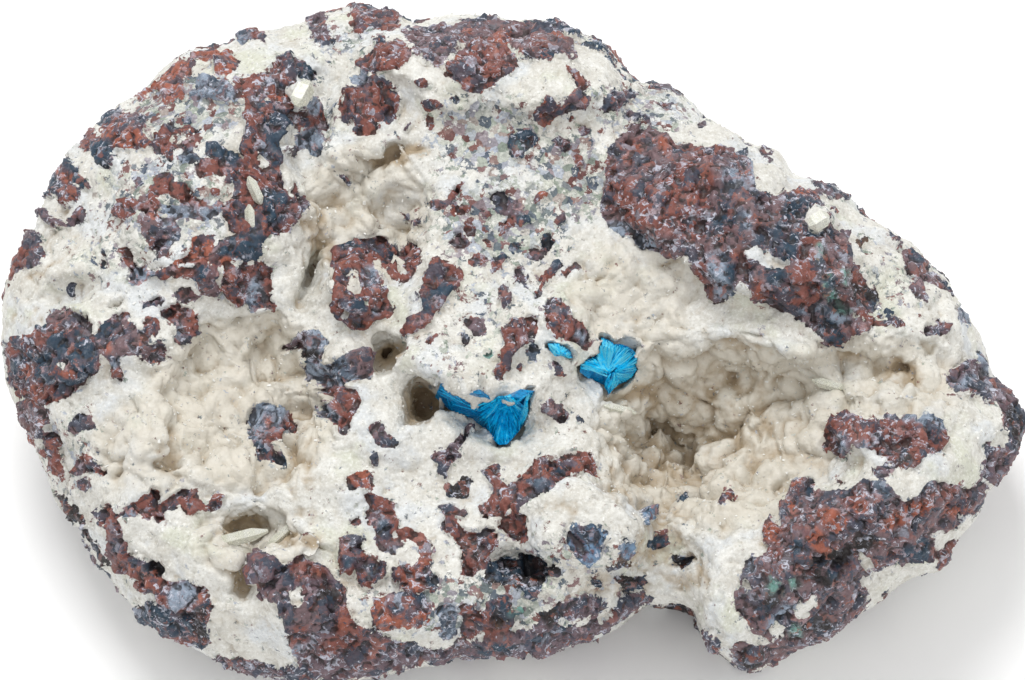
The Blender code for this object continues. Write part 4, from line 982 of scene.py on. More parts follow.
def inside(outline, x, y):
    """Whether each point is within the outline."""
    found = np.zeros(x.shape, bool)
    for (x0, y0), (x1, y1) in zip(outline, np.roll(outline, -1, axis=0)):
        crosses = (y0 > y) != (y1 > y)
        span = y1 - y0 if y1 != y0 else 1.0
        found ^= crosses & (x < (x1 - x0) * (y - y0) / span + x0)
    return found


def blurred(layer, times):
    """The layer with each pixel spread over its neighbours."""
    for _ in range(times):
        for axis in (0, 1):
            layer = (np.roll(layer, 1, axis) + 2 * layer + np.roll(layer, -1, axis)) / 4
    return layer


def drawn_map(shapes):
    """Four layers over the face grid: how much the shapes cover, and their linear colour times that."""
    width, height = PHOTO_SIZE
    layers = np.zeros((height, width, 4))
    for tone, *corners in shapes:
        outline = np.array(corners, float).reshape(-1, 2)
        low = np.clip(outline.min(axis=0).astype(int) - 1, 0, (width - 2, height - 2))
        high = np.clip(outline.max(axis=0).astype(int) + 2, 1, (width, height))
        rows, columns = np.mgrid[low[1] : high[1], low[0] : high[0]]
        within = inside(outline, columns + 0.5, rows + 0.5)
        fill = (0, 0, 0, 0) if tone == CREAM else (1, *linear(TONES[tone]))
        layers[low[1] : high[1], low[0] : high[0]][within] = fill
    return layers


def read_map(layers, x, y):
    """The map's layers at each pixel place, going evenly between pixels."""
    height, width = layers.shape[:2]
    x, y = np.clip(x - 0.5, 0, width - 1.001), np.clip(y - 0.5, 0, height - 1.001)
    column, row = x.astype(int), y.astype(int)
    across, down = (x - column)[:, None], (y - row)[:, None]
    top = layers[row, column] * (1 - across) + layers[row, column + 1] * across
    low = layers[row + 1, column] * (1 - across) + layers[row + 1, column + 1] * across
    return top * (1 - down) + low * down


def shaped(x, y, form):
    """How far each pixel place is from the middle of an oval form, 1 at its edge."""
    centre_x, centre_y, half_length, half_width, turn = form
    c, s = math.cos(math.radians(turn)), math.sin(math.radians(turn))
    dx, dy = x - centre_x, centre_y - y
    return np.hypot((dx * c + dy * s) / half_length, (dy * c - dx * s) / half_width)


# The surface


def frame_surface():
    """The frame's lump and crusts as one voxel surface: its points and quads."""
    corners, faces, used = [], [], 0
    for name in (BODY, *CRUSTS, *SPRAYS):
        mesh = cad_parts[name].data
        swell, sink = SPRAY_BED if name in SPRAYS else CRUST_BED
        for vertex in mesh.vertices:
            inner = ease(-vertex.normal.dot(FACE_OUT), *CRUST_INNER)
            share = inner if name in CRUSTS else name in SPRAYS
            corners.append(vertex.co + (vertex.normal * swell - FACE_OUT * sink) * MM * float(share))
        faces += [[used + i for i in face.vertices] for face in mesh.polygons]
        used += len(mesh.vertices)
    mesh = bpy.data.meshes.new("surface")
    mesh.from_pydata(corners, [], faces)
    helper = bpy.data.objects.new("surface", mesh)
    bpy.context.scene.collection.objects.link(helper)
    remesh = helper.modifiers.new("remesh", "REMESH")
    remesh.mode = "VOXEL"
    remesh.voxel_size = VOXEL
    bpy.context.view_layer.update()
    made = helper.evaluated_get(bpy.context.evaluated_depsgraph_get()).data
    points = np.empty(len(made.vertices) * 3, np.float32)
    made.vertices.foreach_get("co", points)
    quads = np.empty(len(made.loops), np.int32)
    made.loops.foreach_get("vertex_index", quads)
    bpy.data.objects.remove(helper)
    return whole_part(points.reshape(-1, 3).astype(float), quads.reshape(-1, 4).astype(np.int64))


def whole_part(points, quads):
    """The surface without the sealed bubbles that the voxels leave under the crusts."""
    part = np.arange(len(points))
    while True:
        least = part[quads].min(axis=1)
        found = part.copy()
        for side in range(4):
            np.minimum.at(found, quads[:, side], least)
        found = found[found]
        if (found == part).all():
            break
        part = found
    kept = part == np.bincount(part).argmax()
    return points[kept], (np.cumsum(kept) - 1)[quads[kept[quads[:, 0]]]]


def edges_of(quads, count):
    """Each edge once, and the edge on every side of every quad."""
    starts = quads.T.ravel()
    ends = np.roll(quads, -1, axis=1).T.ravel()
    keys, index = np.unique(np.minimum(starts, ends) * count + np.maximum(starts, ends), return_inverse=True)
    return np.stack([keys // count, keys % count], axis=1), index.reshape(4, -1).T


def neighbour_mean(values, edges):
    """The mean of each point's neighbours along the edges."""
    count = len(values)
    ends = np.concatenate([edges[:, 0], edges[:, 1]])
    others = np.concatenate([edges[:, 1], edges[:, 0]])
    met = np.bincount(ends, minlength=count)
    sums = [np.bincount(ends, weights=column[others], minlength=count) for column in values.T]
    return np.stack(sums, axis=1) / np.maximum(met, 1)[:, None]


def relaxed(points, edges, times, share=0.5):
    """The points drawn towards their neighbours, that many times."""
    for _ in range(times):
        points = points + share * (neighbour_mean(points, edges) - points)
    return points


def split(points, quads, fine):
    """The fine quads as four each, on points halfway along their edges and at their middle. Where
    they meet the others, the seam lists such a halfway point and the two ends of its edge."""
    edges, sides = edges_of(quads, len(points))
    met = np.bincount(sides[fine].ravel(), minlength=len(edges))
    bordering = (met > 0) & (np.bincount(sides[~fine].ravel(), minlength=len(edges)) > 0)
    halfway = np.cumsum(met > 0) - 1 + len(points)
    parted = edges[met > 0]
    middles = np.arange(fine.sum()) + len(points) + len(parted)
    around, ways = quads[fine], halfway[sides[fine]]
    parts = [np.stack([around[:, i], ways[:, i], middles, ways[:, i - 1]], axis=1) for i in range(4)]
    seam = np.column_stack([halfway[bordering], edges[bordering]])
    points = np.concatenate([points, points[parted].mean(axis=1), points[around].mean(axis=1)])
    return points, np.concatenate([*parts, quads[~fine]]), seam


def normals_of(points, quads):
    """The surface's outward direction at each point."""
    cross = np.cross(points[quads[:, 2]] - points[quads[:, 0]], points[quads[:, 3]] - points[quads[:, 1]])
    total = np.zeros_like(points)
    for side in range(4):
        for axis in range(3):
            total[:, axis] += np.bincount(quads[:, side], weights=cross[:, axis], minlength=len(points))
    return total / np.maximum(np.linalg.norm(total, axis=1), 1e-12)[:, None]


def hidden_clasts(points):
    """Clasts for what the photo doesn't show: how much is basalt there, and its linear colour."""
    warp = noise_vectors(points, "hidden")
    amounts, places = [], []
    for size, seed, share, rim, waver in HIDDEN_CLASTS:
        nearest, second, own, _ = cells(points + warp * waver * MM, size * MM, seed)
        amounts.append(ease(second - nearest, *rim) * (own < share))
        places.append(own / share)
    place = np.where(amounts[0] > amounts[1], *places)
    palette = np.array([linear(TONES[kind]) for kind in HIDDEN_TONES])
    colour = palette[np.clip((place * len(palette)).astype(int), 0, len(palette) - 1)]
    return np.maximum(*amounts), colour


def clasts_at(points, facing):
    """How much of each point is basalt, the linear colour of its clast and how near clasts are."""
    x, y, _ = face_pixels(points)
    ragged = [RAGGED * noise(points, name) for name in ("edge across", "edge down")]
    drawn = drawn_map(CLASTS)
    edged = sum(blurred(drawn, times) for times in EDGE_BLURS) / len(EDGE_BLURS)
    layers = read_map(edged, x + ragged[0], y + ragged[1])
    around = read_map(blurred(drawn, AROUND_BLUR), x, y)
    amount, near = layers[:, 0], around[:, 0]
    total = layers + AROUND_TINT * around
    colour = total[:, 1:] / (total[:, :1] + LEAST_TINT)
    stray = ease(noise(points, "stray"), *STRAY_NOISE) * ease(near, *STRAY_NEAR)
    bare = ease(noise(points, "bare"), *BARE_NOISE) * ease(1 - near, *BARE_NEAR)
    amount = np.maximum(amount, STRAY_SHARE * stray) * (1 - bare)
    seen = ease(facing + SEEN_WAVER * noise(points, "seen"), *SEEN_FACING)
    hidden_amount, hidden_colour = hidden_clasts(points)
    share = seen[:, None]
    amount = amount * seen + hidden_amount * (1 - seen)
    return amount, colour * share + hidden_colour * (1 - share), near


def oval_share(points, ovals, reach):
    """The greatest share that the ovals have at each point, fading over that reach."""
    x, y, _ = face_pixels(points)
    total = np.zeros(len(points))
    for centre_x, centre_y, half_length, half_width, share in ovals:
        form = (centre_x, centre_y, half_length, half_width, 0)
        total = np.maximum(total, share * (1 - ease(shaped(x, y, form), *reach)))
    return total


def druse_at(points, facing):
    """How strongly rounded druse covers each point."""
    return np.maximum(oval_share(points, HOLLOWS, HOLLOW_FADE), LEAST_DRUSE) * ease(facing, *DRUSE_FACING)


def shade_and_stain_at(points, facing):
    """How brown the druse is at each point: partly stain, partly painted shade in its hollows."""
    x, y, _ = face_pixels(points)
    total = np.zeros(len(points))
    for *form, share in SHADE_AND_STAINS:
        total = np.maximum(total, share * (1 - ease(shaped(x, y, form), *SHADE_AND_STAIN_FADE)))
    return total * ease(facing, *SHADE_AND_STAIN_FACING)


def depth_of(points, facing, forms):
    """How deep the forms go at each point, in metres."""
    x, y, _ = face_pixels(points)
    across, down = (PIT_WARP * noise(points, name) for name in ("pit across", "pit down"))
    depth = np.zeros(len(points))
    for *form, deep in forms:
        reach = shaped(x + across, y + down, form)
        depth = np.maximum(depth, deep * MM * (1 - ease(reach, *PIT_FADE)))
    return depth * ease(facing, *PIT_FACING)


def spray_beds(points):
    """How much each point is under a blue spray, and how much it is beside one."""
    x, y, _ = face_pixels(points)
    shift = SPRAY_WARP * noise(points, "spray")
    drawn = drawn_map(SPRAY_SHAPES)[:, :, :1]
    calm = ease(read_map(blurred(drawn, BED_BLUR), x + shift, y - shift)[:, 0], *BED_FADE)
    ring = ease(read_map(blurred(drawn, RING_BLUR), x, y)[:, 0], *RING_FADE) * (1 - calm)
    return calm, ring * (RING_SHARE[0] + RING_SHARE[1] * noise(points, "ring"))


def zeolite_relief(points, druse):
    """The height of zeolite's swells, rounded lumps, beads and grains, in metres."""
    warp = noise_vectors(points, "lump") * LUMP_WARP * MM
    beads = LEAST_BEADS + (1 - LEAST_BEADS) * druse
    height = SWELL * noise(points, "swell")
    for (size, tall, seed), weight in ((LUMPS, druse), (BEADS, beads), (GRAINS, 1.0)):
        nearest = cells(points + warp, size * MM, seed)[0]
        height = height + weight * tall * (np.sqrt(np.maximum(CAP - nearest**2, 0.0)) - CAP_LEVEL)
    return height * MM


def basalt_relief(points):
    """The height of basalt's broken faces and vesicles, in metres."""
    height = RUGGED * noise(points, "rugged")
    for size, tall, seed in (CHIPS, SMALL_CHIPS):
        _, _, own, away = cells(points, size * MM, seed)
        tilt = np.stack([np.cos(own * 29), np.sin(own * 47), np.cos(own * 61 + 1)], axis=1)
        height = height + tall * ((away * tilt).sum(axis=1) + own - 0.5)
    size, deep, seed = VESICLES
    nearest, _, own, _ = cells(points, size * MM, seed)
    return (height - deep * (own < VESICLE_SHARE) * (1 - ease(nearest, *VESICLE_RIM))) * MM


def dressed_surface():
    """The specimen's whole surface: points, quads and the layers that its material reads."""
    points, quads = frame_surface()
    edges, _ = edges_of(quads, len(points))
    rounded = relaxed(points, edges, FACING_SMOOTHINGS)
    facing = normals_of(rounded, quads) @ np.array(FACE_OUT)
    points = relaxed(points, edges, SMOOTHINGS)
    fine = facing[quads].max(axis=1) > LEAST_FINE_FACING
    points, quads, seam = split(np.column_stack([points, facing]), quads, fine)
    edges, _ = edges_of(quads, len(points))
    points, facing = relaxed(points[:, :3], edges, SPLIT_SMOOTHINGS), points[:, 3]
    normals = normals_of(points, quads)
    rest_share = ease(points[:, 2], *REST_RISE)
    basalt, colour, near = clasts_at(points, facing)
    druse = druse_at(points, facing)
    drift = noise_vectors(points, "drift", 3)
    solid = ease(basalt, *STONE_EDGE)
    height = zeolite_relief(points, druse) * (1 - solid)
    rim_share = 1 - RIM_CALM * (1 - ease(facing, *RIM_FACING))
    height += (basalt_relief(points) * rim_share + CLAST_RISE * MM) * solid
    height += depth_of(points, facing, FILLS) - depth_of(points, facing, PITS) - WHOLE_SINK * MM
    calm, ring = spray_beds(points)
    height = height * (1 - calm) + (RING_RISE * ring - BED_DROP * calm) * MM
    height -= depth_of(points, facing, BED_PITS)
    drift *= DRIFT * MM * (druse * (1 - calm))[:, None]
    points = points + (drift + normals * height[:, None]) * rest_share[:, None]
    points[:, 2] = np.maximum(points[:, 2], 0.0)
    points[seam[:, 0]] = points[seam[:, 1:]].mean(axis=1)
    normals = normals_of(points, quads)
    cavity, crease = (
        ((relaxed(points, edges, times) - points) * normals).sum(axis=1) / MM
        for times in (CAVITY_SMOOTHINGS, CREASE_SMOOTHINGS)
    )
    speckle = oval_share(points, SPECKLES, SPECKLE_FADE)
    layers = {
        "basalt": basalt,
        "shade_and_stain": shade_and_stain_at(points, facing),
        "druse": druse,
        "speckle": np.maximum(speckle, RIM_SPECKLE * ease(near, *RIM_NEAR)),
        "facing": facing,
        "cavity": cavity,
        "crease": crease,
        "tint": np.concatenate([colour, np.ones((len(colour), 1))], axis=1),
    }
    return points, quads, layers


def new_piece(name, points, faces, material, stands_for):
    """A mesh piece that rides on the specimen and stands for those nodes of its frame."""
    mesh = bpy.data.meshes.new(name)
    mesh.from_pydata(points.tolist(), [], faces)
    mesh.materials.append(material)
    piece = bpy.data.objects.new(name, mesh)
    bpy.context.scene.collection.objects.link(piece)
    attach(piece, "root")
    if stands_for:
        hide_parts(*stands_for)
    return piece


def add_layers(mesh, layers):
    """Give each point of the mesh its values of the material's layers."""
    for name, values in layers.items():
        kind = "FLOAT" if values.ndim == 1 else "FLOAT_COLOR"
        layer = mesh.attributes.new(name, kind, "POINT")
        layer.data.foreach_set("value" if kind == "FLOAT" else "color", values.ravel().astype(np.float32))


def cut_in_pieces(points, quads, layers, material):
    """Part the surface into pieces from left to right, shaded as one."""
    normals = normals_of(points, quads)
    middles = points[quads[:, 0], 0]
    order = np.argsort(middles, kind="stable")
    for number, part in enumerate(np.array_split(order, PIECES)):
        used, faces = np.unique(quads[part], return_inverse=True)
        faces = faces.reshape(-1, 4)
        name = f"breccia_surface_{number + 1}"
        piece = new_piece(name, points[used], faces.tolist(), material, (BODY, *CRUSTS))
        piece.data.polygons.foreach_set("use_smooth", np.ones(len(faces), bool))
        add_layers(piece.data, {key: values[used] for key, values in layers.items()})
        piece.data.normals_split_custom_set_from_vertices(normals[used].tolist())


# Crystals strewn on the surface


def unit(vectors):
    """The vectors at length one."""
    return vectors / np.maximum(np.linalg.norm(vectors, axis=-1), 1e-12)[..., None]


def grain_places(points, quads, layers, random):
    """Which quads carry a crystal: mostly zeolite's, more in the fine part and few under the lump."""
    corners = points[quads]
    area = np.linalg.norm(np.cross(corners[:, 2] - corners[:, 0], corners[:, 3] - corners[:, 1]), axis=1)
    stone = ease(layers["basalt"][quads[:, 0]], *GRAIN_STONE)
    seen = GRAINS_HIDDEN + (1 - GRAINS_HIDDEN) * ease(layers["facing"][quads[:, 0]], *GRAIN_FACING)
    raised = ease(corners[:, 0, 2], *GRAIN_RISE)
    weight = area * (1 - (1 - GRAINS_ON_BASALT) * stone) * seen * raised
    return random.choice(len(quads), GRAIN_COUNT, replace=False, p=weight / weight.sum())


def strewn_grains(points, quads, layers):
    """The corners of every crystal, eight in turn for each, and each one's own layers."""
    random = np.random.default_rng(GRAIN_SEED)
    places = grain_places(points, quads, layers, random)
    spread = random.dirichlet((1, 1, 1, 1), len(places))
    middle = (points[quads[places]] * spread[..., None]).sum(axis=1)
    outward = normals_of(points, quads)[quads[places, 0]]
    length = random.uniform(*GRAIN_LENGTH, len(places)) ** GRAIN_POWER * MM
    length *= 1 - GRAIN_SHRINK * ease(layers["basalt"][quads[places, 0]], *GRAIN_STONE)
    width = length * random.uniform(*GRAIN_WIDTH, len(places))
    depth = length * random.uniform(*GRAIN_DEPTH, len(places))
    axis = unit(outward + GRAIN_LEAN * random.normal(size=(len(places), 3)))
    side = unit(np.cross(axis, random.normal(size=(len(places), 3))))
    third = np.cross(axis, side)
    box = np.repeat(BOX[None], len(places), axis=0)
    taper = random.uniform(*GRAIN_TAPER, (len(places), 2))
    box[:, 4:, 0] *= taper[:, :1]
    box[:, 4:, 1] *= taper[:, 1:]
    box[:, 4:, 0] += random.uniform(*GRAIN_SHEAR, len(places))[:, None]
    corners = (
        middle[:, None]
        + box[..., :1] * (side * width[:, None] / 2)[:, None]
        + box[..., 1:2] * (third * depth[:, None] / 2)[:, None]
        + (box[..., 2:] - GRAIN_SUNK) * (axis * length[:, None])[:, None]
    )
    corners[..., 2] = np.maximum(corners[..., 2], 0.0)
    own = {key: layers[key][quads[places, 0]] for key in ("shade_and_stain", "cavity", "crease")}
    own["shade"] = random.uniform(size=len(places))
    return corners, own


def add_grains(points, quads, layers, material):
    """The strewn crystals, in a few pieces."""
    corners, own = strewn_grains(points, quads, layers)
    for number, part in enumerate(np.array_split(np.arange(len(corners)), GRAIN_PIECES)):
        starts = len(BOX) * np.arange(len(part))
        faces = (BOX_FACES[None] + starts[:, None, None]).reshape(-1, 4).tolist()
        name = f"zeolite_grains_{number + 1}"
        piece = new_piece(name, corners[part].reshape(-1, 3), faces, material, ())
        add_layers(piece.data, {key: np.repeat(values[part], len(BOX)) for key, values in own.items()})


# The blue sprays and the pale single crystals


def sight(tree, x, y, level=0.0):
    """The point of a surface seen at that pixel, or else the nearest to that height in mm."""
    hit = tree.ray_cast(lay(x, y, SIGHT_HEIGHT), -FACE_OUT)[0]
    return hit or tree.find_nearest(lay(x, y, level))[0]


def along(corners, share):
    """The place that share of the way along a line through the corners."""
    corners = np.array(corners, float)
    lengths = np.linalg.norm(np.diff(corners, axis=0), axis=1)
    reach = share * lengths.sum()
    k = min(int(np.searchsorted(np.cumsum(lengths), reach)), len(lengths) - 1)
    rest = (reach - lengths[:k].sum()) / lengths[k]
    return corners[k] * (1 - rest) + corners[k + 1] * rest


def tube(path, sides, ups):
    """A closed four-sided rod along a path, with its half widths and half heights as vectors."""
    rings = np.stack([path + sides, path + ups, path - sides, path - ups], axis=1)
    count = len(path)
    faces = [
        (4 * k + i, 4 * k + (i + 1) % 4, 4 * k + 4 + (i + 1) % 4, 4 * k + 4 + i)
        for k in range(count - 1) for i in range(4)
    ]
    faces += [(3, 2, 1, 0), tuple(4 * (count - 1) + i for i in range(4))]
    return rings.reshape(-1, 3), np.array(faces)


def fibre(tree, level, random, root, tip):
    """One fibre laid along the node's surface from near the root to near the tip."""
    shares = np.linspace(random.uniform(*FIBRE_START), random.uniform(*FIBRE_END), FIBRE_STATIONS)
    lift = random.uniform(*FIBRE_LIFT) * MM
    half = random.uniform(*FIBRE_HALF_WIDTH) * MM
    ways = np.array(root) + (np.array(tip) - np.array(root)) * shares[:, None]
    path = np.array([sight(tree, *way, level) for way in ways]) + np.array(FACE_OUT) * lift
    direction = unit(path[-1] - path[0])
    side = unit(np.cross(direction, FACE_OUT))
    taper = np.array(FIBRE_TAPER)[:, None]
    out = unit(np.cross(side, direction))
    return tube(path, side * half * taper, out * half * FIBRE_DEPTH * taper)


def joined(parts):
    """Points, faces and shades of many small pieces as one."""
    starts = np.cumsum([0] + [len(part[0]) for part in parts])
    points = np.concatenate([part[0] for part in parts])
    faces = [
        tuple(int(i) + int(start) for i in face) for part, start in zip(parts, starts) for face in part[1]
    ]
    shades = np.concatenate([np.full(len(part[0]), part[2]) for part in parts])
    return points, faces, shades


def add_sprays(material):
    """Each blue spray: its node's body under fans of fibres."""
    random = np.random.default_rng(FIBRE_SEED)
    for name in dict.fromkeys(fan[0] for fan in FANS):
        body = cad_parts[name].data
        points = np.array([vertex.co for vertex in body.vertices])
        faces = [tuple(polygon.vertices) for polygon in body.polygons]
        tree = BVHTree.FromPolygons(points.tolist(), faces)
        level = face_pixels(points)[2].mean() / MM
        parts = [(points, faces, BODY_SHADE)]
        for node, bright, count, root, tips in FANS:
            if node == name:
                for _ in range(count):
                    tip = along(tips, random.uniform())
                    start = np.array(root) + random.normal(size=2) * ROOT_SPREAD
                    shade = bright + random.normal() * SHADE_SPREAD
                    parts.append((*fibre(tree, level, random, start, tip), shade))
        points, faces, shades = joined(parts)
        piece = new_piece(f"{name}_spray", points, faces, material, (name,))
        add_layers(piece.data, {"shade": shades})


def lath(ground, x, y, height, half_length, half_width, half_thickness, turn, lean, roll):
    """A blade with pointed ends, lying on the surface seen at that pixel."""
    turn, lean, roll = (math.radians(angle) for angle in (turn, lean, roll))
    spin = Matrix.Rotation(turn, 3, "Z") @ Matrix.Rotation(lean, 3, "Y") @ Matrix.Rotation(roll, 3, "X")
    frame_axes = Matrix((FACE_RIGHT, FACE_UP, FACE_OUT)).transposed() @ spin
    axis, side, out = (np.array(frame_axes.col[k]) * MM for k in range(3))
    middle = np.array(sight(ground, x, y)) + np.array(FACE_OUT) * height * MM
    shares = np.array([-1.0, -LATH_TIP, LATH_TIP, 1.0])[:, None]
    narrowing = np.array([LATH_END, 1.0, 1.0, LATH_END])[:, None]
    path = middle + axis * half_length * shares
    return tube(path, side * half_width * narrowing, out * half_thickness * narrowing)


def add_laths(points, quads, material):
    """The pale single crystals, half sunk in the surface."""
    ground = BVHTree.FromPolygons(points.tolist(), quads.tolist())
    random = np.random.default_rng(LATH_SEED)
    for name, rows in LATHS.items():
        parts = [(*lath(ground, *row), random.uniform()) for row in rows]
        corners, faces, shades = joined(parts)
        piece = new_piece(name, corners, faces, material, ())
        add_layers(piece.data, {"shade": shades})


# Materials


def rgba(colour):
    """An sRGB colour of 0 to 255 as a socket's linear value."""
    return (*linear(colour), 1.0)


def new_material(name, colour, roughness):
    """A Principled material, its shader and its node tree."""
    material = bpy.data.materials.new(name)
    material.use_nodes = True
    tree = material.node_tree
    shader = tree.nodes["Principled BSDF"]
    shader.inputs["Base Color"].default_value = rgba(colour)
    shader.inputs["Roughness"].default_value = roughness
    return material, shader, tree


def add_node(tree, kind, links=(), values=(), **settings):
    """A node with those settings, sockets fed by links and sockets set to values."""
    node = tree.nodes.new(kind)
    for key, setting in settings.items():
        setattr(node, key, setting)
    for socket, source in dict(links).items():
        tree.links.new(source, node.inputs[socket])
    for socket, value in dict(values).items():
        node.inputs[socket].default_value = value
    return node


def layer_of(tree, name, colour=False):
    """The value or colour of one of the surface's layers."""
    node = add_node(tree, "ShaderNodeAttribute", attribute_name=name)
    return node.outputs["Color" if colour else "Fac"]


def place_of(tree, stretch=(1, 1, 1)):
    """The point's place on the specimen in metres, stretched along each axis."""
    place = add_node(tree, "ShaderNodeTexCoord").outputs["Object"]
    if stretch == (1, 1, 1):
        return place
    return add_node(tree, "ShaderNodeMapping", {"Vector": place}, {"Scale": stretch}).outputs["Vector"]


def noise_of(tree, size, detail=3.0, place=None, roughness=0.55, curl=0.0):
    """Noise from 0 to 1 whose forms are about that size in metres."""
    links = {"Vector": place or place_of(tree)}
    values = {"Scale": 1 / size, "Detail": detail, "Roughness": roughness, "Distortion": curl}
    return add_node(tree, "ShaderNodeTexNoise", links, values).outputs["Fac"]


def ramp_of(tree, source, *stops):
    """A colour or grey for each value of the source, from stops of a place and a colour."""
    node = add_node(tree, "ShaderNodeValToRGB", {"Fac": source})
    ramp = node.color_ramp
    while len(ramp.elements) < len(stops):
        ramp.elements.new(0.5)
    for element, (place, colour) in zip(ramp.elements, stops):
        element.position = place
        element.color = (colour,) * 3 + (1.0,) if isinstance(colour, (int, float)) else rgba(colour)
    return node.outputs["Color"]


def step_of(tree, source, low, high):
    """0 below low, 1 above high."""
    return add_node(
        tree, "ShaderNodeMapRange", {"Value": source}, {"From Min": low, "From Max": high},
        interpolation_type="SMOOTHSTEP",
    ).outputs["Result"]


def sum_of(tree, first, second, operation="ADD"):
    """The two values, or a value and a number, put together."""
    node = add_node(tree, "ShaderNodeMath", operation=operation)
    for socket, source in zip(node.inputs, (first, second)):
        if isinstance(source, (int, float)):
            socket.default_value = source
        else:
            tree.links.new(source, socket)
    return node.outputs["Value"]


def part_of(tree, source, share):
    """The value times that share."""
    return sum_of(tree, source, share, "MULTIPLY")


def around_zero(tree, source):
    """Noise from 0 to 1 as noise to both sides of 0."""
    return sum_of(tree, source, 0.5, "SUBTRACT")


def mix_of(tree, share, first, second, blend="MIX"):
    """The second colour over the first by that share."""
    node = add_node(tree, "ShaderNodeMix", data_type="RGBA", blend_type=blend)
    for socket, source in zip((node.inputs[0], node.inputs[6], node.inputs[7]), (share, first, second)):
        if isinstance(source, (int, float)):
            socket.default_value = source
        elif isinstance(source, tuple):
            socket.default_value = rgba(source)
        else:
            tree.links.new(source, socket)
    return node.outputs[2]


def surface_of(tree, shader, colour, gloss, roughness, relief, bump):
    """Feed the shader a colour, a roughness between two values, and a bump of a strength and a depth
    in mm."""
    tree.links.new(colour, shader.inputs["Base Color"])
    rough = ramp_of(tree, gloss, *zip(GLOSS_STOPS, roughness))
    tree.links.new(rough, shader.inputs["Roughness"])
    values = {"Strength": bump[0], "Distance": bump[1] * MM}
    node = add_node(tree, "ShaderNodeBump", {"Height": relief}, values)
    tree.links.new(node.outputs["Normal"], shader.inputs["Normal"])


def zeolite_colour(tree):
    """Milky cream, cooler, greener or browner by place; tan painted shade and stain in its recesses."""
    milk = step_of(tree, noise_of(tree, 2.4 * MM, 5, roughness=0.6), 0.3, 0.7)
    cream = mix_of(tree, milk, CREAM_LIGHT, CREAM_MID)
    cool = step_of(tree, noise_of(tree, 5 * MM, 4), 0.48, 0.64)
    cream = mix_of(tree, cool, cream, CREAM_COOL)
    green = step_of(tree, noise_of(tree, 6 * MM, 3, place_of(tree, (1, 1.1, 1.3))), 0.54, 0.70)
    cream = mix_of(tree, green, cream, CREAM_GREEN)
    sugar = noise_of(tree, 0.26 * MM, 3, roughness=0.6)
    cream = mix_of(tree, part_of(tree, step_of(tree, sugar, 0.52, 0.66), 0.45), cream, SUGAR_HIGH)
    cream = mix_of(tree, part_of(tree, step_of(tree, sugar, 0.46, 0.34), 0.35), cream, SUGAR_LOW)
    warm = sum_of(tree, layer_of(tree, "druse"), around_zero(tree, noise_of(tree, 2 * MM, 4)))
    cream = mix_of(tree, step_of(tree, warm, 0.3, 1.1), cream, CREAM_WARM)
    # Painted shade, partly stain: recesses, stained ovals and their patches go tan, the deepest deeper tan
    patch = part_of(tree, around_zero(tree, noise_of(tree, 1.6 * MM, 4)), HOLLOW_PATCHES)
    hollow = sum_of(tree, layer_of(tree, "cavity"), patch)
    hollow = sum_of(tree, hollow, layer_of(tree, "shade_and_stain"))
    cream = mix_of(tree, step_of(tree, hollow, 0.15, 1.05), cream, SHADE_AND_STAIN_TAN)
    cream = mix_of(tree, step_of(tree, hollow, 1.05, 2.1), cream, DEEP_SHADE_AND_STAIN_TAN)
    # Painted shade: creases go a little towards tan
    crease = step_of(tree, layer_of(tree, "crease"), 0.03, 0.16)
    cream = mix_of(tree, part_of(tree, crease, 0.15), cream, SHADE_AND_STAIN_TAN)
    speckle = part_of(tree, layer_of(tree, "speckle"), SPECKLE_SHARE)
    share = sum_of(tree, noise_of(tree, 0.8 * MM, 5, roughness=0.7), speckle)
    return mix_of(tree, step_of(tree, share, 0.60, 0.67), cream, facets_of(tree, 0.75 * MM, RUBBLE))


def facets_of(tree, size, tones):
    """Crowded fragments of about that size in metres, each of one of the tones."""
    links = {"Vector": place_of(tree)}
    swirl = add_node(tree, "ShaderNodeTexNoise", links, {"Scale": 1.1 / size, "Detail": 3.0})
    reach = {1: (1.3 * size,) * 3}
    shift = add_node(tree, "ShaderNodeVectorMath", {0: swirl.outputs["Color"]}, reach, operation="MULTIPLY")
    place = add_node(tree, "ShaderNodeVectorMath", {0: place_of(tree), 1: shift.outputs["Vector"]})
    cell = add_node(tree, "ShaderNodeTexVoronoi", {"Vector": place.outputs["Vector"]}, {"Scale": 1 / size})
    stops = zip(np.linspace(*FACET_REACH, len(tones)), tones)
    colour = ramp_of(tree, cell.outputs["Color"], *stops)
    shade = ramp_of(tree, noise_of(tree, 0.3 * size, 3, roughness=0.7), (0.35, 0.62), (0.60, 1.0))
    return mix_of(tree, 1.0, colour, shade, "MULTIPLY")


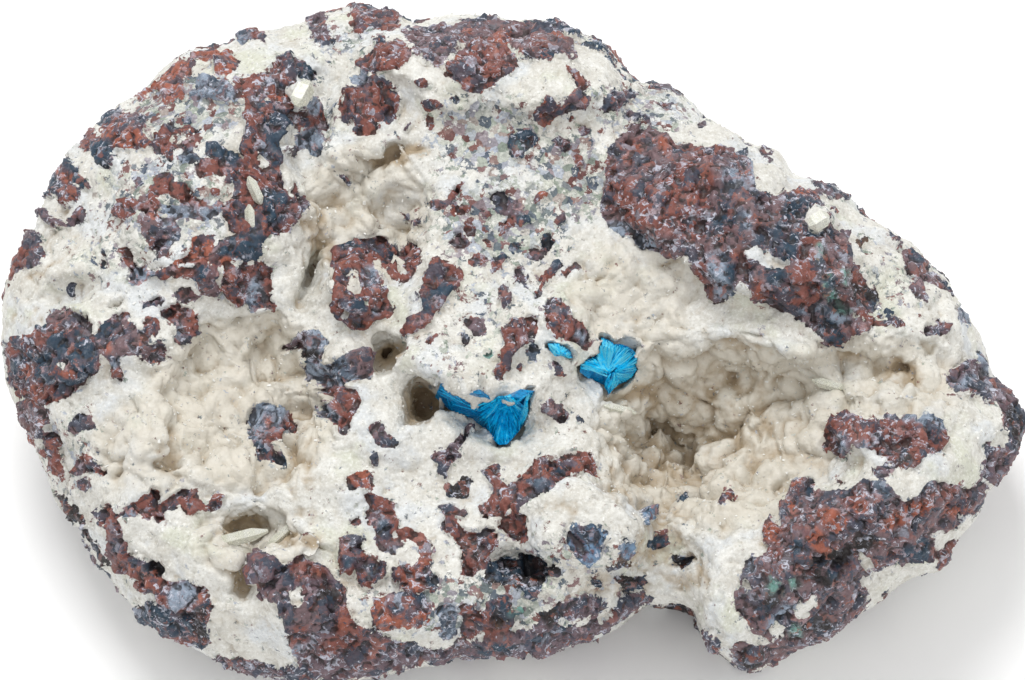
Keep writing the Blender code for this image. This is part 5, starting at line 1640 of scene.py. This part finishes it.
def basalt_colour(tree):
    """Each clast's tone, broken by darker, rusty and pale facets and flecks, and painted shade in creases."""
    tint = layer_of(tree, "tint", colour=True)
    grit = noise_of(tree, 0.50 * MM, 5, roughness=0.7)
    shade = ramp_of(tree, grit, (0.30, 0.34), (0.50, 0.80), (0.72, 1.0))
    stone = mix_of(tree, 1.0, tint, shade, "MULTIPLY")
    broken = step_of(tree, noise_of(tree, 1.3 * MM, 5, roughness=0.7), 0.47, 0.55)
    stone = mix_of(tree, part_of(tree, broken, 0.70), stone, facets_of(tree, 0.85 * MM, FACETS))
    slate = step_of(tree, noise_of(tree, 2.6 * MM, 5, place_of(tree, (1.1, 0.9, 1.2)), 0.65), 0.54, 0.58)
    stone = mix_of(tree, part_of(tree, slate, 0.75), stone, SLATE)
    fleck = noise_of(tree, 0.75 * MM, 5, place_of(tree, (0.9, 1.1, 1.2)), 0.7, FLECK_CURL)
    zone = step_of(tree, noise_of(tree, 6 * MM, 3, place_of(tree, (1, 0.9, 1.1))), 0.36, 0.64)
    fleck = step_of(tree, sum_of(tree, fleck, part_of(tree, zone, FLECK_ZONE)), 0.61, 0.68)
    stone = mix_of(tree, part_of(tree, fleck, 0.80), stone, PALE_FLECK)
    # Painted shade: creases go most of the way to the darkest tone
    crease = step_of(tree, layer_of(tree, "crease"), 0.01, 0.10)
    return mix_of(tree, part_of(tree, crease, 0.75), stone, TONES["dark"])


def breccia_material():
    """Basalt and zeolite on one surface, parted by a ragged edge."""
    material, shader, tree = new_material("breccia", CREAM_LIGHT, 0.5)
    ragged = around_zero(tree, noise_of(tree, 0.8 * MM, 5, roughness=0.7))
    edge = sum_of(tree, layer_of(tree, "basalt"), part_of(tree, ragged, EDGE_BREAK))
    stone_share = step_of(tree, edge, 0.44, 0.56)
    colour = mix_of(tree, stone_share, zeolite_colour(tree), basalt_colour(tree))
    crystal = add_node(tree, "ShaderNodeTexVoronoi", {"Vector": place_of(tree)}, {"Scale": 1 / (0.30 * MM)})
    crystals = part_of(tree, crystal.outputs["Distance"], 0.6)
    grain = sum_of(tree, noise_of(tree, 0.22 * MM, 4, roughness=0.65), crystals)
    surface_of(tree, shader, colour, noise_of(tree, 0.35 * MM, 2), (0.35, 0.70), grain, (0.6, 0.10))
    return material


def grain_material():
    """Glassy cream grains, each a little different, browner in recesses as painted shade and stain."""
    material, shader, tree = new_material("zeolite_grains", CREAM_LIGHT, 0.22)
    shade = layer_of(tree, "shade")
    tone = ramp_of(tree, shade, (0.0, CREAM_MID), (0.55, CREAM_LIGHT), (1.0, CREAM_BRIGHT))
    # Painted shade, partly stain: grains in recesses and stained places go tan
    hollow = sum_of(tree, layer_of(tree, "cavity"), layer_of(tree, "shade_and_stain"))
    tone = mix_of(tree, step_of(tree, hollow, 0.35, 1.5), tone, SHADE_AND_STAIN_TAN)
    tone = mix_of(tree, part_of(tree, noise_of(tree, 0.2 * MM, 2), 0.25), tone, CREAM_COOL)
    gloss, relief = noise_of(tree, 0.3 * MM, 2), noise_of(tree, 0.12 * MM, 2)
    surface_of(tree, shader, tone, gloss, (0.25, 0.55), relief, (0.2, 0.03))
    return material


def spray_material():
    """Azure fibres, each of its own shade and streaked along its length, with painted shade on dim fans."""
    material, shader, tree = new_material("cavansite", AZURE, 0.3)
    streak = noise_of(tree, 0.35 * MM, 3, roughness=0.6)
    shade = sum_of(tree, layer_of(tree, "shade"), around_zero(tree, streak))
    # Painted shade: low shades, such as the left wing's fans, take the deep blue
    tone = ramp_of(tree, shade, (0.0, DEEP_BLUE), (0.35, AZURE), (0.75, BRIGHT_AZURE), (1.0, PALE_AZURE))
    gloss, relief = noise_of(tree, 0.25 * MM, 2), noise_of(tree, 0.08 * MM, 3)
    surface_of(tree, shader, tone, gloss, (0.22, 0.5), relief, (0.4, 0.03))
    return material


def pale_crystal_material():
    """A clouded, partly clear pale crystal."""
    material, shader, tree = new_material("pale_crystal", PALE_CRYSTAL, 0.2)
    shader.inputs["Transmission Weight"].default_value = 0.35
    shader.inputs["IOR"].default_value = 1.5
    cloud = noise_of(tree, 0.8 * MM, 4)
    tone = ramp_of(tree, cloud, (0.35, PALE_CRYSTAL), (0.65, PALE_CLOUD))
    gloss, relief = noise_of(tree, 0.3 * MM, 3), noise_of(tree, 0.2 * MM, 3)
    surface_of(tree, shader, tone, gloss, (0.12, 0.4), relief, (0.3, 0.03))
    return material


# The light and the camera


def add_camera():
    """The camera square to the face, with the face grid's pixels on the photo's."""
    lens = bpy.data.cameras.new("camera")
    width = PHOTO_SIZE[0] * UNIT
    lens.sensor_width = SENSOR / MM
    lens.lens = SENSOR * CAMERA_DISTANCE / width / MM
    lens.clip_end = CLIP_END
    camera = bpy.data.objects.new("camera", lens)
    camera.location = lay(*FRAME_MIDDLE, FRAME_DEPTH) + FACE_OUT * CAMERA_DISTANCE
    camera.rotation_euler = (FACE_LEAN, 0, 0)
    bpy.context.scene.collection.objects.link(camera)
    bpy.context.scene.camera = camera


def add_light(name, place, size, power):
    """A square soft light at that place, turned to the specimen."""
    lamp = bpy.data.lights.new(name, "AREA")
    lamp.size = size
    lamp.energy = power
    light = bpy.data.objects.new(name, lamp)
    light.location = place
    light.rotation_euler = (-Vector(place)).to_track_quat("-Z", "Y").to_euler()
    bpy.context.scene.collection.objects.link(light)


def add_studio():
    """A pale floor, an even pale sky and soft lights."""
    corners = [(x * FLOOR_HALF, y * FLOOR_HALF, 0) for x, y in ((-1, -1), (1, -1), (1, 1), (-1, 1))]
    mesh = bpy.data.meshes.new("floor")
    mesh.from_pydata(corners, [], [(0, 1, 2, 3)])
    floor_material, shader, _ = new_material("floor", FLOOR_COLOUR, 0.9)
    shader.inputs["Specular IOR Level"].default_value = 0.1
    mesh.materials.append(floor_material)
    floor = bpy.data.objects.new("floor", mesh)
    bpy.context.scene.collection.objects.link(floor)
    world = bpy.data.worlds.new("studio")
    world.use_nodes = True
    sky = world.node_tree.nodes["Background"]
    sky.inputs["Color"].default_value = (1.0, 1.0, 1.0, 1.0)
    sky.inputs["Strength"].default_value = SKY_STRENGTH
    bpy.context.scene.world = world
    for name, (place, size, power) in LIGHTS.items():
        add_light(name, place, size, power)
    bpy.context.scene.view_settings.view_transform = "Standard"


def main():
    """Dress the specimen and light it."""
    add_camera()
    add_studio()
    points, quads, layers = dressed_surface()
    cut_in_pieces(points, quads, layers, breccia_material())
    add_grains(points, quads, layers, grain_material())
    add_sprays(spray_material())
    add_laths(points, quads, pale_crystal_material())


main()
